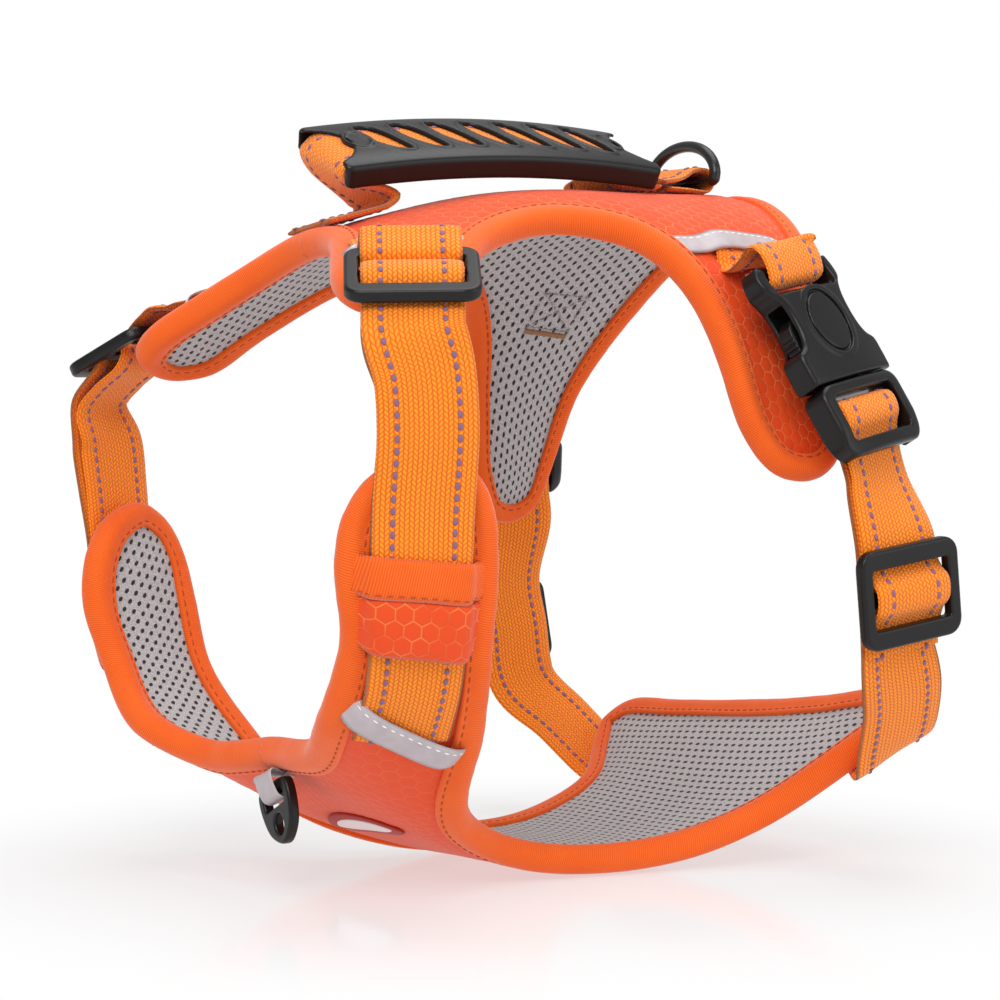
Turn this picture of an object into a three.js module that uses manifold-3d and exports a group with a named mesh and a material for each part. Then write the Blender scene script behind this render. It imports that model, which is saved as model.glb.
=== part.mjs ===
// A no-pull dog harness: a padded back panel and a padded chest panel, joined by two shoulder
// straps and two girth straps of 25 mm webbing, with sliders, side-release buckles, a carrying
// handle, a leash ring at the back and a second ring on the chest.
//
// Units are millimetres. The dog would face -Y, its left side is +X and +Z is up. The origin is
// on the floor, below the middle of the whole harness's box.
//
// The soft panels are drawn flat, as sewing patterns, and draped into their worn shape by a
// smooth map from pattern to space. Hardware sits in local frames: x across the strap, y up the
// strap towards the spine, z out of the face.
import * as THREE from "three";
import { mergeVertices } from "three/addons/utils/BufferGeometryUtils.js";
import Module from "manifold-3d";

const wasm = await Module();
wasm.setup();

// ---- Driving dimensions ----
const WEBBING_WIDTH = 25;
const WEBBING_THICK = 1.6;
const LEAN = 0.11; // the standing harness leans to its right: rise per millimetre of x
const LEAN_FROM = 25; // height at which the lean is full
const PANEL_CELL = 17; // grid size of the draped sheets
const EDGE_STEP = 12; // spacing of points round a panel's edge
const SHELL = { from: 1.3, to: 2.7 }; // heights over the middle of the padding
const FOAM = { from: -1.4, to: 0.8 };
const LINING = { from: -3.1, to: -2 };
const BINDING = { width: 8, thick: 7.6, gap: 0.6, sides: 6 };
const STRIP_THICK = 0.8; // reflective strips, keepers and the label
const REFLECTOR_WIDTH = 7;

const SLIDER = {
  width: 32.4, height: 26, thick: 3, corner: 4.5, slotWidth: 26.6, barHeight: 4, barTop: 0.4, rail: 3.8,
};
const LAYER_1 = -3.1; // webbing directly behind a slider's frame
const LAYER_2 = -5.6; // second webbing layer behind it
const OVER_BAR = 2.2; // webbing over a slider's centre bar

const BUCKLE = {
  width: 35, thick: 10.4, chamfer: 1.2, topY: 28.5, mouthY: -7.7, bottomY: -28.5, seam: 0.4,
  cavityHalf: 15, cavityThick: 5.4, cavityDepth: 24, waistHalf: 12.6, slotHalf: 13.4,
};
const TONGUE = { half: 3.6, length: 20, thick: 4 };
const ARM = { inner: 9.6, outer: 13.2, tab: 14.6, length: 20, thick: 4.4, gap: 0.6 };

const GRIP = { length: 102, width: 30, thick: 6.4, rise: 3.6, slotPitch: 11 };
const HANDLE = { middle: -8, pivotHeight: 192, standing: 10.5, tilt: 25, pitch: 2.3 };
const TUNNEL = { width: 26.4, top: 1.7, height: 3.2 };
const D_RING = { width: 34, wire: 3.2, height: 13.8, thick: 3.2, barThick: 2.8, lean: 6 };
const FRONT_RING = { width: 16, height: 16, thick: 3 };
const RIBBON_WIDTH = 9;

// ---- Colours ----
const FINISHES = {
  shell: { color: 0xe8452a, roughness: 0.75 },
  foam: { color: 0x33302f, roughness: 0.95 },
  lining: { color: 0x8d878c, roughness: 0.95 },
  binding: { color: 0xf2702e, roughness: 0.85 },
  webbing: { color: 0xf98a2a, roughness: 0.85 },
  reflective: { color: 0xb9b4b8, roughness: 0.45 },
  label: { color: 0xa8241c, roughness: 0.6 },
  plastic: { color: 0x2b282b, roughness: 0.5 },
  metal: { color: 0x1d1c1e, roughness: 0.35, metalness: 0.8 },
};

const harness = new THREE.Group();

function add(name, material, geometry, matrix) {
  const finish = new THREE.MeshStandardMaterial({ name: material, ...FINISHES[material] });
  const mesh = new THREE.Mesh(geometry, finish);
  mesh.name = name;
  if (matrix) mesh.applyMatrix4(matrix);
  harness.add(mesh);
}

// ---- Small vector helpers on plain arrays ----
const vec = (p) => new THREE.Vector3(...p);
const mix = (a, b, t) => a.map((v, i) => v + (b[i] - v) * t);
// The lean fades out towards the floor, where the belly panel lies flat.
const lean = (x, z) => LEAN * x * Math.min(1, z / LEAN_FROM);

// ---- The drape: a thin-plate map from a flat pattern to space ----
const bend = (r2) => (r2 > 0 ? r2 * Math.log(r2) : 0);

function solveLinear(rows, values) {
  const n = rows.length;
  const m = rows.map((row, i) => [...row, ...values[i]]);
  for (let col = 0; col < n; col++) {
    const sizes = m.map((row, r) => (r < col ? -1 : Math.abs(row[col])));
    const pivot = sizes.indexOf(Math.max(...sizes));
    [m[col], m[pivot]] = [m[pivot], m[col]];
    m.forEach((row, r) => {
      if (r !== col) {
        const factor = row[col] / m[col][col];
        m[r] = row.map((v, c) => v - factor * m[col][c]);
      }
    });
  }
  return m.map((row, i) => row.slice(n).map((v) => v / row[i]));
}

// pins: [a, b, x, y, z] for the left half and the middle line (a = 0). The right half mirrors it.
function drape(pins) {
  const all = pins.flatMap(([a, b, x, y, z]) =>
    (a === 0 ? [1] : [1, -1]).map((side) => [side * a, b, side * x, y, z + lean(side * x, z)]));
  const basis = (a, b) => [...all.map((q) => bend((a - q[0]) ** 2 + (b - q[1]) ** 2)), 1, a, b];
  const rows = all.map(([a, b]) => basis(a, b));
  rows.push([...all.map(() => 1), 0, 0, 0]);
  rows.push([...all.map((q) => q[0]), 0, 0, 0]);
  rows.push([...all.map((q) => q[1]), 0, 0, 0]);
  const weights = solveLinear(rows, [...all.map((q) => q.slice(2)), [0, 0, 0], [0, 0, 0], [0, 0, 0]]);
  const at = (a, b) => {
    const parts = basis(a, b);
    return [0, 1, 2].map((k) => parts.reduce((sum, f, i) => sum + f * weights[i][k], 0));
  };
  const surface = (a, b, height = 0) => {
    const p = vec(at(a, b));
    const across = vec(at(a + 0.5, b)).sub(vec(at(a - 0.5, b)));
    const along = vec(at(a, b + 0.5)).sub(vec(at(a, b - 0.5)));
    const normal = across.cross(along).normalize().multiplyScalar(surface.side);
    return p.addScaledVector(normal, height).toArray();
  };
  surface.side = 1; // +1 where across x along points out of the dog
  return surface;
}

// Back panel: a runs across from the spine, b along it. Chest panel: a across from the breast
// bone, b back along it from the neck edge.
const back = drape([
  [0, -64, 0, -64, 169], [0, -15, 0, -15, 180.5], [0, 40, 0, 40, 183], [0, 84, 0, 84, 183],
  [36, -75, 34, -75, 159], [66, -48, 59, -48, 149], [74, -84, 63, -84, 144.5],
  [42, -8, 38, -8, 170], [50, 14, 46, 14, 164.5], [78, 28, 60, 27, 140], [112, 36, 69, 35, 108],
  [46, 80, 40, 75, 162], [76, 76, 60, 65, 137], [112, 72, 72, 60, 106],
]);
// A point on a chest arm's pattern: distance up the arm's middle line, and offset to its rear.
const onArm = (up, rear) => [44 + 0.72 * up + 0.69 * rear, 10 - 0.69 * up + 0.72 * rear];
const chest = drape([
  [0, 0, 0, -76, 38], [0, 50, 0, -32, 12.5], [0, 100, 0, 14, 3.4], [0, 146, 0, 58, 11],
  [0, 192, 0, 92, 39],
  [...onArm(0, -20), 30, -80, 38], [...onArm(0, 20), 46, -41, 23],
  [...onArm(20, -20), 50, -88, 46.5], [...onArm(20, 20), 61, -46, 39],
  [...onArm(45, -20), 64, -90, 64], [...onArm(45, 20), 75, -53, 60],
  [...onArm(65, -20), 68, -94, 81], [...onArm(65, 20), 81, -55, 79],
  [...onArm(78, -20), 69, -93, 94], [...onArm(78, 20), 84, -57, 93],
  [...onArm(94, 0), 79, -74, 108],
  [32, 86, 32, -1, 4.6], [42, 124, 42, 37, 6.5], [50, 146, 50, 60, 14], [64, 168, 63, 77, 26],
  [74, 180, 71, 87, 34], [64, 192, 62, 92, 41],
]);
chest.side = -1;

// ---- Panel outlines, left half from front to rear along the edge ----
const BACK_EDGE = [
  [0, -64], [20, -67], [38, -76], [56, -83.5], [69, -82.5], [77, -72], [74, -58], [58, -46],
  [45, -30], [41, -8], [48, 12], [64, 23], [86, 29], [106, 33], [119, 43], [121, 58], [114, 70],
  [96, 75], [70, 78], [46, 81], [20, 84], [0, 84.5],
];
const CHEST_EDGE = [
  [0, 0], [16, -1], onArm(0, -20), onArm(20, -20), onArm(45, -20), onArm(65, -20), onArm(78, -19),
  onArm(88, -13), onArm(94, 0), onArm(88, 13), onArm(78, 19), onArm(65, 20), onArm(45, 20),
  onArm(20, 20), onArm(0, 20), [45, 42], [35, 64], [32, 86], [35, 108], [41, 128], [49, 148],
  [64, 167], [74, 180], [64, 191], [32, 193], [0, 192],
];

function outline(half) {
  const left = half.map(([a, b]) => new THREE.Vector3(a, b, 0));
  const right = half.slice(1, -1).reverse().map(([a, b]) => new THREE.Vector3(-a, b, 0));
  const curve = new THREE.CatmullRomCurve3([...left, ...right], true, "centripetal");
  const count = Math.round(curve.getLength() / EDGE_STEP);
  return curve.getSpacedPoints(count).slice(0, -1).map((p) => [p.x, p.y]);
}

// Unit normals into the outline, which runs anticlockwise.
function inwardNormals(points) {
  return points.map((_, i) => {
    const [before, after] = [points.at(i - 1), points[(i + 1) % points.length]];
    const d = [after[0] - before[0], after[1] - before[1]];
    const length = Math.hypot(...d);
    return [-d[1] / length, d[0] / length];
  });
}
const inset = (points, by) => {
  const normals = inwardNormals(points);
  return points.map(([a, b], i) => [a + normals[i][0] * by, b + normals[i][1] * by]);
};

// ---- Draped sheet: a flat outline cut on a grid, mapped to two heights and closed at the edge ----
function clip(points, axis, limit, sign) {
  const result = [];
  points.forEach((p, i) => {
    const q = points[(i + 1) % points.length];
    const [dp, dq] = [(p[axis] - limit) * sign, (q[axis] - limit) * sign];
    if (dp >= 0) result.push(p);
    if (dp > 0 !== dq > 0 && dp !== 0 && dq !== 0) {
      const cut = mix(p, q, dp / (dp - dq));
      cut[axis] = limit;
      result.push(cut);
    }
  });
  return result;
}

const flat = ([x, y]) => new THREE.Vector2(x, y);
const isArea = (points) => points.length > 2 && Math.abs(THREE.ShapeUtils.area(points.map(flat))) > 1e-3;

// The grid lines that cover a flat piece along one axis. They miss the middle line on purpose.
function gridLines(points, axis, cell) {
  const values = points.map((p) => p[axis]);
  const [low, high] = [Math.min(...values), Math.max(...values)];
  const first = Math.floor(low / cell - 0.5);
  return Array.from({ length: Math.ceil((high - low) / cell) + 2 }, (_, i) => (first + i + 0.37) * cell);
}

function gridTriangles(points, cell) {
  const triangles = [];
  for (const a of gridLines(points, 0, cell)) {
    const column = clip(clip(points, 0, a, 1), 0, a + cell, -1);
    const rows = isArea(column) ? gridLines(points, 1, cell) : [];
    for (const b of rows) {
      const piece = clip(clip(column, 1, b, 1), 1, b + cell, -1);
      const faces = isArea(piece) ? THREE.ShapeUtils.triangulateShape(piece.map(flat), []) : [];
      triangles.push(...faces.map((face) => face.map((i) => piece[i])));
    }
  }
  return triangles;
}

// The triangles of a flat piece, lifted to heights from and to, with walls on its free edges.
function sheet(points, surface, from, to, cell = PANEL_CELL) {
  const key = (p) => p.map((v) => Math.round(v * 1e3)).join();
  const edges = new Map();
  const positions = [];
  const put = (height, corners) => corners.forEach(([a, b]) => positions.push(...surface(a, b, height)));
  for (const triangle of gridTriangles(points, cell)) {
    const [p, q, r] = triangle;
    const turn = (q[0] - p[0]) * (r[1] - p[1]) - (q[1] - p[1]) * (r[0] - p[0]);
    const up = turn * surface.side > 0 ? triangle : [p, r, q];
    put(to, up);
    put(from, [...up].reverse());
    up.forEach((corner, i) => {
      const next = up[(i + 1) % 3];
      const twin = `${key(next)}|${key(corner)}`;
      if (edges.has(twin)) edges.delete(twin);
      else edges.set(`${key(corner)}|${key(next)}`, [corner, next]);
    });
  }
  for (const [p, q] of edges.values()) {
    const [low, high] = [from, to].map((h) => [surface(...p, h), surface(...q, h)]);
    positions.push(...low[0], ...low[1], ...high[1], ...low[0], ...high[1], ...high[0]);
  }
  return closedGeometry(positions);
}

function closedGeometry(positions) {
  const geometry = new THREE.BufferGeometry();
  geometry.setAttribute("position", new THREE.Float32BufferAttribute(positions, 3));
  return mergeVertices(geometry, 1e-3);
}

// ---- Loft: rings of points joined into a closed body, as a ring or with two caps ----
function loft(rings, joined = false) {
  const positions = [];
  const count = rings[0].length;
  const last = joined ? rings.length : rings.length - 1;
  for (let i = 0; i < last; i++) {
    const [ring, next] = [rings[i], rings[(i + 1) % rings.length]];
    for (let j = 0; j < count; j++) {
      const k = (j + 1) % count;
      positions.push(...ring[j], ...ring[k], ...next[k], ...ring[j], ...next[k], ...next[j]);
    }
  }
  if (!joined) {
    for (let j = 1; j < count - 1; j++) {
      positions.push(...rings[0][0], ...rings[0][j + 1], ...rings[0][j]);
      const end = rings.at(-1);
      positions.push(...end[0], ...end[j], ...end[j + 1]);
    }
  }
  return closedGeometry(positions);
}

// Edge binding: an oval bead that follows a panel's outline.
function binding(points, surface) {
  const centre = inset(points, BINDING.width / 2);
  const normals = inwardNormals(points);
  const { sides } = BINDING;
  const rings = centre.map(([a, b], i) => Array.from({ length: sides }, (_, j) => {
    const angle = (-2 * Math.PI * (j + 0.5) * surface.side) / sides;
    const out = -Math.cos(angle) * BINDING.width / 2;
    return surface(a + normals[i][0] * out, b + normals[i][1] * out, Math.sin(angle) * BINDING.thick / 2);
  }));
  return loft(rings, true);
}

// ---- Webbing: a flat strip along stations {at, wide}, wide being the direction of its width ----
function webbing(stations, steps, width = WEBBING_WIDTH, thick = WEBBING_THICK) {
  const curve = new THREE.CatmullRomCurve3(stations.map((s) => vec(s.at)), false, "centripetal");
  const rings = Array.from({ length: steps + 1 }, (_, i) => {
    const t = i / steps;
    const seat = t * (stations.length - 1);
    const index = Math.min(Math.floor(seat), stations.length - 2);
    const along = curve.getTangent(t);
    const wide = vec(mix(stations[index].wide, stations[index + 1].wide, seat - index));
    wide.addScaledVector(along, -wide.dot(along)).normalize();
    const out = along.clone().cross(wide).normalize();
    const centre = curve.getPoint(t);
    return [[-1, -1], [1, -1], [1, 1], [-1, 1]].map(([u, v]) => centre.clone()
      .addScaledVector(wide, (u * width) / 2).addScaledVector(out, (v * thick) / 2).toArray());
  });
  return loft(rings);
}

// ---- Local frames for hardware ----
// side is +1 on the dog's left. Directions are given for the left side and mirrored for the right.
function frame(side, at, down, outward) {
  const mirror = ([x, y, z]) => new THREE.Vector3(side * x, y, z);
  const y = mirror(down).negate().normalize();
  const z = mirror(outward);
  z.addScaledVector(y, -z.dot(y)).normalize();
  const x = y.clone().cross(z);
  const origin = mirror(at).add(new THREE.Vector3(0, 0, lean(side * at[0], at[2])));
  const matrix = new THREE.Matrix4().makeBasis(x, y, z).setPosition(origin);
  return {
    matrix,
    place: (px, py, pz) => new THREE.Vector3(px, py, pz).applyMatrix4(matrix).toArray(),
    station: (py, pz) => ({
      at: new THREE.Vector3(0, py, pz).applyMatrix4(matrix).toArray(),
      wide: x.clone().toArray(),
    }),
  };
}

// A free station, given for the left side like a frame.
function loose(side, [x, y, z], wide) {
  return { at: [side * x, y, z + lean(side * x, z)], wide: [wide[0], side * wide[1], side * wide[2]] };
}

// A station on a draped panel at a height, with the webbing's width along [da, db] of the pattern.
function onPanel(surface, a, b, height, [da, db]) {
  const step = 2 / Math.hypot(da, db);
  const before = vec(surface(a - da * step, b - db * step, height));
  const after = vec(surface(a + da * step, b + db * step, height));
  return { at: surface(a, b, height), wide: after.sub(before).normalize().toArray() };
}

// ---- Booleans ----
function solid(geometry) {
  const plain = new THREE.BufferGeometry();
  plain.setAttribute("position", geometry.getAttribute("position"));
  plain.setIndex(geometry.index);
  const merged = mergeVertices(plain, 1e-4);
  return new wasm.Manifold(new wasm.Mesh({
    numProp: 3,
    vertProperties: new Float32Array(merged.getAttribute("position").array),
    triVerts: new Uint32Array(merged.index.array),
  }));
}
function geometryOf(manifold) {
  const mesh = manifold.getMesh();
  const geometry = new THREE.BufferGeometry();
  geometry.setAttribute("position", new THREE.BufferAttribute(new Float32Array(mesh.vertProperties), 3));
  return geometry.setIndex(new THREE.BufferAttribute(new Uint32Array(mesh.triVerts), 1));
}

function box(x0, x1, y0, y1, z0, z1) {
  const geometry = new THREE.BoxGeometry(x1 - x0, y1 - y0, z1 - z0);
  return solid(geometry.translate((x0 + x1) / 2, (y0 + y1) / 2, (z0 + z1) / 2));
}

function roundedRectangle(x0, x1, y0, y1, r, target = new THREE.Shape()) {
  target.absarc(x1 - r, y1 - r, r, 0, Math.PI / 2);
  target.absarc(x0 + r, y1 - r, r, Math.PI / 2, Math.PI);
  target.absarc(x0 + r, y0 + r, r, Math.PI, 1.5 * Math.PI);
  target.absarc(x1 - r, y0 + r, r, 1.5 * Math.PI, 2 * Math.PI);
  return target;
}

// A flat part of the given thickness, centred on z = 0, with a small chamfer.
function plate(shape, thick, chamfer = 0, curveSegments = 4) {
  return new THREE.ExtrudeGeometry(shape, {
    depth: thick - 2 * chamfer, curveSegments, bevelEnabled: chamfer > 0,
    bevelSize: chamfer, bevelOffset: -chamfer, bevelThickness: chamfer, bevelSegments: 1,
  }).translate(0, 0, -(thick - 2 * chamfer) / 2);
}

// ---- Panels ----
function panel(name, edge, surface) {
  const points = outline(edge);
  const inner = inset(points, BINDING.width + BINDING.gap);
  add(`${name}_shell`, "shell", sheet(inner, surface, SHELL.from, SHELL.to));
  add(`${name}_foam`, "foam", sheet(inner, surface, FOAM.from, FOAM.to));
  add(`${name}_lining`, "lining", sheet(inner, surface, LINING.from, LINING.to));
  add(`${name}_binding`, "binding", binding(points, surface));
}

// A narrow strip on a panel's outer face, from one pattern point to another, bowed by sag.
function strip(surface, from, to, width, sag, low, thick = STRIP_THICK) {
  const [da, db] = [to[0] - from[0], to[1] - from[1]];
  const length = Math.hypot(da, db);
  const n = [-db / length, da / length];
  const side = (offset) => [0, 0.25, 0.5, 0.75, 1].map((t) => {
    const bow = sag * 4 * t * (1 - t) + offset;
    return [from[0] + da * t + n[0] * bow, from[1] + db * t + n[1] * bow];
  });
  const points = [...side(-width / 2), ...side(width / 2).reverse()];
  return sheet(points, surface, low, low + thick, PANEL_CELL);
}

// ---- Hardware ----
// A three-bar slider: its centre bar is lower than the frame, so that a strap lies flush over it.
function sliderGeometry() {
  const { width, height, slotWidth, barHeight, thick, rail, corner, barTop } = SLIDER;
  const [half, slotHalf] = [height / 2, slotWidth / 2];
  const body = solid(plate(roundedRectangle(-width / 2, width / 2, -half, half, corner), thick, 0.6));
  const upperSlot = box(-slotHalf, slotHalf, barHeight / 2, half - rail, -thick, thick);
  const lowerSlot = box(-slotHalf, slotHalf, rail - half, -barHeight / 2, -thick, thick);
  const lowered = box(-slotHalf, slotHalf, -barHeight, barHeight, barTop, thick);
  return geometryOf(body.subtract(upperSlot).subtract(lowerSlot).subtract(lowered));
}

// The buckle's female half: flared wings at the strap end, a waist where the release arms show,
// and a flat cavity open at the mouth.
function socketGeometry() {
  const { width, mouthY, topY, waistHalf, thick, chamfer, slotHalf } = BUCKLE;
  const { cavityHalf, cavityThick, cavityDepth } = BUCKLE;
  const half = width / 2;
  const notchLow = mouthY + 10;
  const notchHigh = topY - 12;
  const shape = new THREE.Shape();
  shape.moveTo(-half, mouthY);
  shape.lineTo(half, mouthY);
  shape.lineTo(half - 0.6, notchLow);
  shape.quadraticCurveTo(waistHalf, notchLow + 1, waistHalf, notchLow + 5);
  shape.quadraticCurveTo(waistHalf + 0.4, notchHigh - 1, half - 1.5, notchHigh + 3);
  shape.lineTo(half - 2, topY - 1.5);
  shape.lineTo(half - 3.5, topY);
  shape.lineTo(-half + 3.5, topY);
  shape.lineTo(-half + 2, topY - 1.5);
  shape.lineTo(-half + 1.5, notchHigh + 3);
  shape.quadraticCurveTo(-waistHalf - 0.4, notchHigh - 1, -waistHalf, notchLow + 5);
  shape.quadraticCurveTo(-waistHalf, notchLow + 1, -half + 0.6, notchLow);
  shape.closePath();
  const body = solid(plate(shape, thick, chamfer));
  const cavity = box(
    -cavityHalf, cavityHalf, mouthY - 1, mouthY + cavityDepth, -cavityThick / 2, cavityThick / 2);
  const slot = box(-slotHalf, slotHalf, topY - 8.2, topY - 3.4, -thick, thick);
  const barFace = box(-slotHalf, slotHalf, topY - 9, topY + 1, 2.2, thick);
  const barBack = box(-slotHalf, slotHalf, topY - 9, topY + 1, -thick, -2.2);
  return geometryOf(body.subtract(cavity).subtract(slot).subtract(barFace).subtract(barBack));
}

// The male half: a head with a webbing window and bar, and a guide tongue.
function plugGeometry() {
  const { width, mouthY, bottomY, thick, chamfer, slotHalf, seam } = BUCKLE;
  const top = mouthY - seam;
  const windowTop = top - 3.4;
  const body = solid(plate(roundedRectangle(-width / 2, width / 2, bottomY, top, 3), thick, chamfer));
  const window = box(-slotHalf, slotHalf, bottomY + 4, windowTop, -thick, thick);
  const passage = box(-slotHalf, slotHalf, bottomY - 1, windowTop, -thick, 0.4);
  const bar = box(-slotHalf - 0.6, slotHalf + 0.6, windowTop - 6, windowTop - 2.8, -1.6, 1.6);
  const { half, length, thick: tongueThick } = TONGUE;
  const tongue = box(-half, half, top - 1, top + length, -tongueThick / 2, tongueThick / 2);
  return geometryOf(body.subtract(window).subtract(passage).add(bar).add(tongue));
}

// A release arm, hinged at the plug's head, with its thumb tab in the socket's waist.
function armGeometry(hand) {
  const base = BUCKLE.mouthY - BUCKLE.seam + ARM.gap;
  const shape = new THREE.Shape();
  const x = (value) => hand * value;
  shape.moveTo(x(ARM.inner), base + 0.4);
  shape.lineTo(x(ARM.inner + 0.6), base);
  shape.lineTo(x(ARM.outer - 0.6), base);
  shape.lineTo(x(ARM.outer), base + 0.4);
  shape.lineTo(x(ARM.outer), base + 8);
  shape.quadraticCurveTo(x(ARM.tab), base + 9.5, x(ARM.tab), base + 13);
  shape.quadraticCurveTo(x(ARM.tab), base + ARM.length - 2, x(ARM.inner + 1.5), base + ARM.length);
  shape.lineTo(x(ARM.inner), base + ARM.length - 2);
  shape.closePath();
  return plate(shape, ARM.thick, 0.4);
}

function buckle(side, label, seat) {
  add(`${label}_buckle_socket`, "plastic", socketGeometry(), seat.matrix);
  add(`${label}_buckle_plug`, "plastic", plugGeometry(), seat.matrix);
  add(`${label}_release_arm_front`, "plastic", armGeometry(-side), seat.matrix);
  add(`${label}_release_arm_rear`, "plastic", armGeometry(side), seat.matrix);
}

// ---- Handle grip: an arched sleeve with a webbing tunnel, slanted slots and hooked ends ----
const gripRadius = (GRIP.length ** 2 / 4 + GRIP.rise ** 2) / (2 * GRIP.rise);
const gripEnd = GRIP.length / 2;

// An arched bar, its top dropped below the grip's crown. The profile is drawn along the grip.
function arch(width, drop, thick, length = GRIP.length) {
  const half = Math.asin(length / 2 / gripRadius);
  const shape = new THREE.Shape();
  shape.absarc(0, -gripRadius, gripRadius - drop, Math.PI / 2 - half, Math.PI / 2 + half);
  shape.absarc(0, -gripRadius, gripRadius - drop - thick, Math.PI / 2 + half, Math.PI / 2 - half, true);
  return solid(plate(shape, width, 0, 10).rotateX(Math.PI / 2).rotateZ(Math.PI / 2));
}

// A slanted crescent slot through the grip's top, centred at y.
function gripSlot(y) {
  const shape = new THREE.Shape();
  shape.moveTo(-8.5, y - 4.5);
  shape.quadraticCurveTo(0, y - 3.5, 8.5, y + 3.5);
  shape.quadraticCurveTo(3, y + 5.5, -2, y + 3);
  shape.quadraticCurveTo(-6.5, y + 0.8, -8.5, y - 4.5);
  return solid(plate(shape, 7, 0, 3));
}

// The notch between the two hooks at one end, cut right through.
function gripEndNotch(end) {
  const shape = new THREE.Shape();
  shape.moveTo(-10.5, end * (gripEnd + 1));
  shape.quadraticCurveTo(-9, end * (gripEnd - 7), 0, end * (gripEnd - 8));
  shape.quadraticCurveTo(9, end * (gripEnd - 7), 10.5, end * (gripEnd + 1));
  shape.closePath();
  return solid(plate(shape, 40));
}

// Room under one end, where the webbing turns down out of the tunnel.
function gripRelief(end) {
  const half = TUNNEL.width / 2;
  const [y0, y1] = [end * (gripEnd - 15), end * GRIP.length].sort((p, q) => p - q);
  return box(-half, half, y0, y1, -GRIP.thick - 2 * GRIP.rise, -TUNNEL.top - GRIP.rise * 0.75);
}

function gripGeometry() {
  let body = arch(GRIP.width, 0, GRIP.thick);
  body = body.subtract(arch(TUNNEL.width, TUNNEL.top, TUNNEL.height, GRIP.length + 6));
  for (const place of [-3, -2, -1, 0, 1, 2, 3]) {
    body = body.subtract(gripSlot(place * GRIP.slotPitch));
  }
  for (const end of [1, -1]) {
    body = body.subtract(gripEndNotch(end)).subtract(gripRelief(end));
  }
  return geometryOf(body);
}

// The leash ring: a flattened bow on a straight bar, the bar thinner than the bow.
function dRingGeometry() {
  const { width, wire, height, thick, barThick } = D_RING;
  const radius = width / 2;
  const bow = (shrink, low, target) => {
    target.absellipse(0, wire / 2, radius - shrink, height - wire - shrink, 0, Math.PI);
    target.lineTo(shrink - radius, low);
    target.lineTo(radius - shrink, low);
    target.closePath();
    return target;
  };
  const shape = bow(0, -wire / 2, new THREE.Shape());
  shape.holes.push(bow(wire, wire / 2, new THREE.Path()));
  const ring = solid(plate(shape, thick, 0.8, 12));
  const front = box(-radius - 1, radius + 1, -wire, wire / 2 + 0.6, barThick / 2, thick);
  const rear = box(-radius - 1, radius + 1, -wire, wire / 2 + 0.6, -thick, -barThick / 2);
  return geometryOf(ring.subtract(front).subtract(rear));
}

// The chest ring: a rounded tab with a ribbon slot at the top and an upright slot for a clip.
function frontRingGeometry() {
  const { width, height, thick } = FRONT_RING;
  const half = width / 2;
  const shape = new THREE.Shape();
  shape.moveTo(-half, 0);
  shape.lineTo(-half, -height * 0.35);
  shape.bezierCurveTo(-half, -height * 0.8, -half * 0.6, -height, 0, -height);
  shape.bezierCurveTo(half * 0.6, -height, half, -height * 0.8, half, -height * 0.35);
  shape.lineTo(half, 0);
  shape.closePath();
  shape.holes.push(roundedRectangle(-half + 2.6, half - 2.6, -6, -2.4, 1, new THREE.Path()));
  shape.holes.push(roundedRectangle(-2, 2, -height + 3, -8.2, 1.9, new THREE.Path()));
  return plate(shape, thick, 0.5, 3);
}

// ---- Assembly ----
panel("back", BACK_EDGE, back);
panel("chest", CHEST_EDGE, chest);

const ON_SHELL = SHELL.to + 0.9; // clear of the faceted shell
const STRAP_LOW = ON_SHELL + 0.6 + WEBBING_THICK / 2;
const STRAP_TAIL = STRAP_LOW + WEBBING_THICK + 0.6;
const sliderPart = sliderGeometry();

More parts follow.
